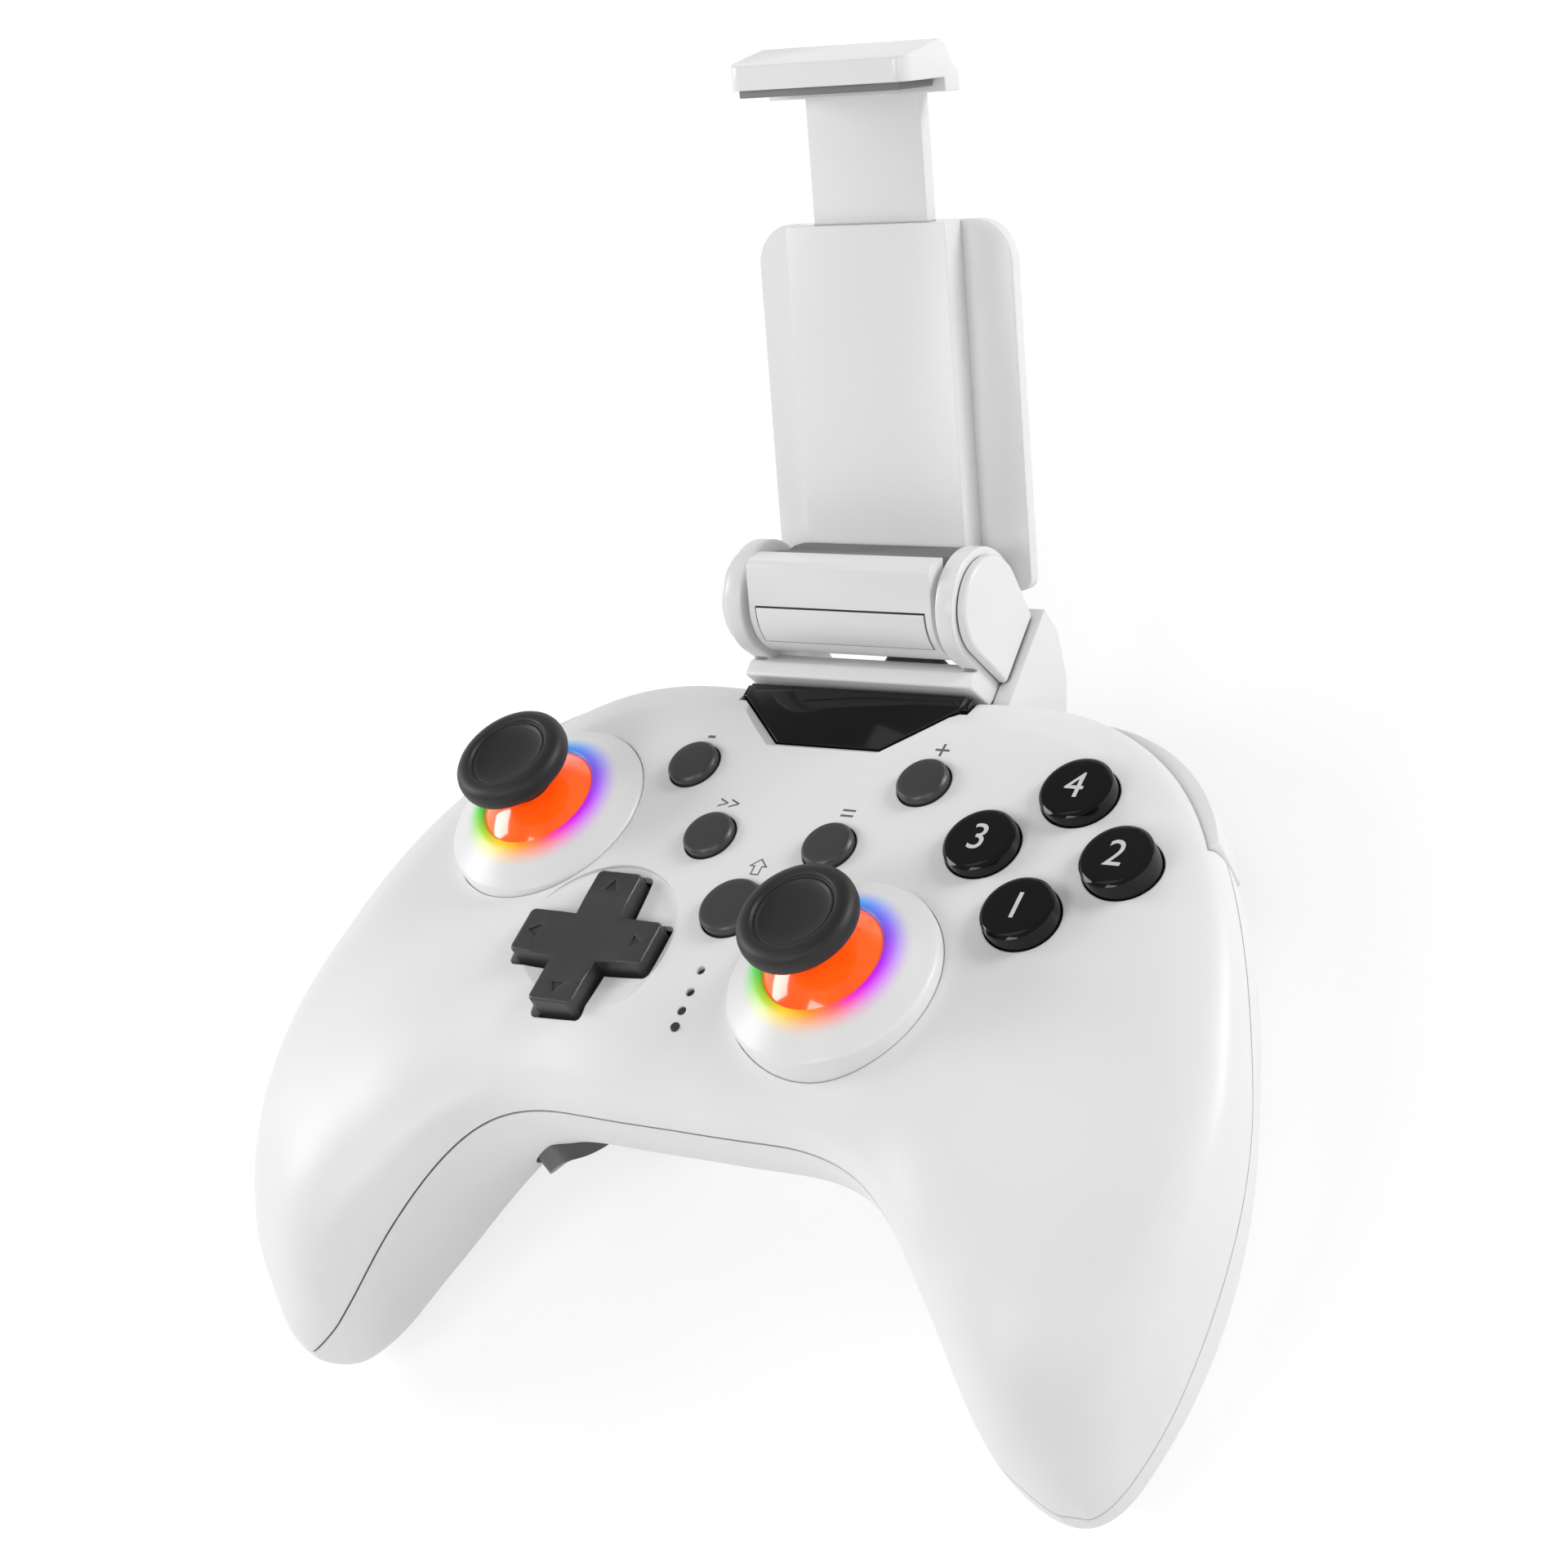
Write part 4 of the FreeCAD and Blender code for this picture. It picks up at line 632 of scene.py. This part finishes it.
print("stage: buttons")
buttonStep = 10.7
clusterX = 45.2
clusterY = 23.4
buttons = {
    "action_button_1": {"x": clusterX, "y": clusterY - buttonStep, "kind": "action", "mark": "1"},
    "action_button_2": {"x": clusterX + buttonStep, "y": clusterY, "kind": "action", "mark": "2"},
    "action_button_3": {"x": clusterX - buttonStep, "y": clusterY, "kind": "action", "mark": "3"},
    "action_button_4": {"x": clusterX, "y": clusterY + buttonStep, "kind": "action", "mark": "4"},
    "select_button": {"x": -20.35, "y": 33.2, "kind": "small"},
    "start_button": {"x": 20.35, "y": 33.2, "kind": "small"},
    "turbo_button": {"x": -10.5, "y": 20.2, "kind": "small"},
    "macro_button": {"x": 10.5, "y": 20.2, "kind": "small"},
    "home_button": {"x": 0.0, "y": 7.8, "kind": "home"},
}
buttonShapes = {
    "action": {
        "slot": "gloss_black",
        "rings": (
            (2.65, -9.6), (2.65, -4.95), (5.2, -4.9), (5.48, -4.7), (5.48, 1.42), (5.44, 1.52),
            (5.04, 1.86), (4.94, 1.9), (4.3, 1.94), (3.2, 1.97), (2.0, 1.99), (0.5, 2.0),
        ),
    },
    "small": {
        "slot": "black_plastic",
        "rings": (
            (1.8, -9.6), (1.8, -4.95), (3.75, -4.9), (3.98, -4.7), (3.98, 0.92), (3.94, 1.0), (3.58, 1.31),
            (3.48, 1.34), (2.6, 1.37), (1.4, 1.39), (0.4, 1.4),
        ),
    },
    "home": {
        "slot": "black_plastic",
        "rings": (
            (2.2, -9.6), (2.2, -4.95), (4.6, -4.9), (4.88, -4.7), (4.88, 0.92), (4.84, 1.0), (4.48, 1.31),
            (4.38, 1.34), (3.2, 1.37), (1.8, 1.39), (0.5, 1.4),
        ),
    },
}
buttonTab = {"width": 3.2, "beyond": 1.1, "thick": 1.2, "under": -3.7, "round": 0.2}
sideRing = 4  # the ring that gives a button's radius
firstButtons = {}
for kind, shape in buttonShapes.items():
    firstButtons[kind] = turnPiece(kind + "_button_model", shape["rings"], steps=96, angle=24)
    radius = shape["rings"][sideRing][0]
    clearSelection()
    bpy.ops.mesh.primitive_cube_add(
        size=1,
        location=(0, 0, (buttonTab["under"] - buttonTab["thick"] / 2) * mm),
        scale=(buttonTab["width"] * mm, 2 * (radius + buttonTab["beyond"]) * mm, buttonTab["thick"] * mm),
    )
    tab = nameActive(kind + "_tab")
    bpy.ops.object.transform_apply(location=True, rotation=True, scale=True)
    applyModifier(tab, "BEVEL", width=buttonTab["round"] * mm, segments=2)
    chooseOnly(firstButtons[kind])
    tab.select_set(True)
    bpy.context.view_layer.objects.active = firstButtons[kind]
    bpy.ops.object.join()

numeral = {"size": 6.4, "thick": 0.03, "lift": 2.05}
for buttonName, button in buttons.items():
    shape = buttonShapes[button["kind"]]
    piece = copyPiece(firstButtons[button["kind"]], buttonName + "_cap")
    settle(piece, onFace(button["x"], button["y"], faceHeight(button["x"])))
    piece.data.materials.append(materials[shape["slot"]])
    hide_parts(buttonName)
    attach(piece, buttonName + "_body")
    button["piece"] = piece
for model in firstButtons.values():
    bpy.data.objects.remove(model)


ink = {"lift": 0.05, "thick": 0.02, "gap": 0.01}


def layOn(mark, target, x, y, lift, thick):
    # lays a flat mark on the face or a button, pressed onto what is under it
    settle(mark, onFace(x, y, lift))
    chooseOnly(mark)
    modifier = mark.modifiers.new("press", "SHRINKWRAP")
    modifier.wrap_method = "NEAREST_SURFACEPOINT"
    modifier.wrap_mode = "ABOVE_SURFACE"
    modifier.target = target
    modifier.offset = ink["gap"] * mm
    bpy.ops.object.modifier_apply(modifier=modifier.name)
    applyModifier(mark, "SOLIDIFY", thickness=thick * mm, offset=0)
    return mark


def textMark(name, words, size):
    clearSelection()
    bpy.ops.object.text_add(location=(0, 0, 0))
    mark = nameActive(name)
    mark.data.body = words
    mark.data.size = size * mm
    mark.data.align_x = "CENTER"
    mark.data.align_y = "CENTER"
    mark.data.resolution_u = 6
    bpy.ops.object.convert(target="MESH")
    mark = nameActive(name)
    bpy.ops.object.mode_set(mode="EDIT")
    bpy.ops.mesh.select_all(action="SELECT")
    bpy.ops.mesh.remove_doubles(threshold=weld)
    bpy.ops.mesh.quads_convert_to_tris()
    bpy.ops.mesh.subdivide(number_cuts=1)
    bpy.ops.object.mode_set(mode="OBJECT")
    return mark


for buttonName, button in buttons.items():
    if "mark" not in button:
        continue
    mark = textMark(buttonName + "_numeral", button["mark"], numeral["size"])
    lift = faceHeight(button["x"]) + numeral["lift"]
    layOn(mark, button["piece"], button["x"], button["y"], lift, numeral["thick"])
    mark.data.materials.append(paleInk)
    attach(mark, buttonName + "_body")

print("stage: face marks")
faceMarks = {
    "select_mark": {"x": -20.35, "y": 39.5, "words": "-", "size": 5.5},
    "start_mark": {"x": 20.35, "y": 39.5, "words": "+", "size": 5.0},
    "turbo_mark": {"x": -10.5, "y": 26.5, "words": ">>", "size": 3.4},
    "macro_mark": {"x": 10.5, "y": 26.5, "words": "=", "size": 4.6},
}
for markName, values in faceMarks.items():
    mark = textMark(markName, values["words"], values["size"])
    lift = faceHeight(values["x"]) + ink["lift"]
    layOn(mark, nodes["top_shell"], values["x"], values["y"], lift, ink["thick"])
    mark.data.materials.append(greyInk)
    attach(mark, "housing")

# The mark over the home button is the outline of an arrow, drawn up from a square
arrow = {
    "x": 0.4, "y": 14.9, "stem": 1.5, "head": 3.3, "line": 0.22,
    "shoulder": 0.02, "roof": 1.5, "tip": 0.02,
}
clearSelection()
bpy.ops.mesh.primitive_plane_add(size=arrow["stem"] * mm, location=(0, 0, 0))
mark = nameActive("home_mark")
bpy.ops.object.mode_set(mode="EDIT")
half = arrow["stem"] / 2 * mm
pickInEdit(mark, lambda edge: all(point.co.y > half * 0.9 for point in edge.verts), "EDGE")
bpy.ops.mesh.extrude_region_move(TRANSFORM_OT_translate={"value": (0, arrow["shoulder"] * mm, 0)})
widen = arrow["head"] / arrow["stem"]
bpy.ops.transform.resize(value=(widen, 1, 1), center_override=(0, 0, 0))
bpy.ops.mesh.extrude_region_move(TRANSFORM_OT_translate={"value": (0, arrow["roof"] * mm, 0)})
bpy.ops.transform.resize(value=(arrow["tip"], 1, 1), center_override=(0, 0, 0))
bpy.ops.mesh.select_mode(type="FACE")
bpy.ops.mesh.select_all(action="SELECT")
bpy.ops.mesh.dissolve_faces()
bpy.ops.mesh.inset(thickness=arrow["line"] * mm)
bpy.ops.mesh.delete(type="FACE")
bpy.ops.mesh.select_all(action="SELECT")
bpy.ops.mesh.subdivide(number_cuts=2)
bpy.ops.object.mode_set(mode="OBJECT")
layOn(mark, nodes["top_shell"], arrow["x"], arrow["y"], ink["lift"], ink["thick"])
mark.data.materials.append(greyInk)
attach(mark, "housing")

print("stage: softened edges")
softEdges = {  # the width of the rounding in millimetres
    "holder_frame": 0.45, "holder_bracket": 0.4, "clamp_body": 0.45, "upper_jaw": 0.5,
    "left_arm_cover": 0.3, "right_arm_cover": 0.3, "clamp_cover": 0.12, "lock_knob": 0.35,
    "center_panel": 0.2, "upper_pad": 0.2, "d_pad": 0.3, "left_bumper": 0.45, "right_bumper": 0.45,
    "lower_pad": 0.2, "left_trigger": 0.5, "right_trigger": 0.5, "usb_socket": 0.1,
}
for nodeName, width in softEdges.items():
    softenedCopy(nodeName, width)

# The outer lower corner of each trigger is cut back to a plane through the camera's place that
# just passes the bumper, and to its mirror image on the left
place, across = view["place"], (0.88925, 0.30063, -0.36735)
for side, mirror in (("left", -1), ("right", 1)):
    editAll(bpy.data.objects[side + "_trigger_finished"])
    bpy.ops.mesh.bisect(
        plane_co=(mirror * place[0], place[1], place[2]),
        plane_no=(mirror * across[0], across[1], across[2]),
        use_fill=True, clear_outer=True,
    )
    bpy.ops.object.mode_set(mode="OBJECT")
    bpy.ops.object.shade_smooth_by_angle(angle=math.radians(softCopy["smooth"]))

print("stage: floor")
floorValues = {
    "size": 6.0, "white": 1.15, "rough": 0.9, "specular": 0.1,
    "paper": ((0.3, (0.85, 0.85, 0.85)), (0.7, (0.87, 0.87, 0.87))),
    "reach": (0.25, 0.8),  # from here to there the floor's own white takes over from its shading
    "share": (0.65, 1.0),
}
clearSelection()
bpy.ops.mesh.primitive_plane_add(size=floorValues["size"], location=(0, 0, 0))
floor = nameActive("floor")
material, tree, shader = newMaterial("floor_paper")
speck = addNoise(tree, 40, 2)
ramp = addRamp(tree, speck.outputs["Fac"], floorValues["paper"])
tree.links.new(ramp.outputs["Color"], shader.inputs["Base Color"])
shader.inputs["Roughness"].default_value = floorValues["rough"]
shader.inputs["Specular IOR Level"].default_value = floorValues["specular"]
floorRays = tree.nodes.new("ShaderNodeLightPath")
whiten = tree.nodes.new("ShaderNodeEmission")
whiten.inputs["Strength"].default_value = floorValues["white"]
mixed = tree.nodes.new("ShaderNodeMixShader")
seen = tree.nodes.new("ShaderNodeMath")
seen.operation = "MULTIPLY"
anyRay = floorRays.outputs["Is Camera Ray"]
for rayKind in ("Is Glossy Ray", "Is Transmission Ray"):
    joined = tree.nodes.new("ShaderNodeMath")
    joined.operation = "MAXIMUM"
    tree.links.new(anyRay, joined.inputs[0])
    tree.links.new(floorRays.outputs[rayKind], joined.inputs[1])
    anyRay = joined.outputs[0]
tree.links.new(anyRay, seen.inputs[0])
# Far from the object the paper only shows its own white
length = tree.nodes.new("ShaderNodeVectorMath")
length.operation = "LENGTH"
tree.links.new(tree.nodes.new("ShaderNodeTexCoord").outputs["Object"], length.inputs[0])
share = addRange(tree, length.outputs["Value"], floorValues["reach"], floorValues["share"])
tree.links.new(share, seen.inputs[1])
tree.links.new(seen.outputs[0], mixed.inputs[0])
tree.links.new(shader.outputs[0], mixed.inputs[1])
tree.links.new(whiten.outputs[0], mixed.inputs[2])
tree.links.new(mixed.outputs[0], tree.nodes["Material Output"].inputs["Surface"])
floor.data.materials.append(material)

print("stage: done")
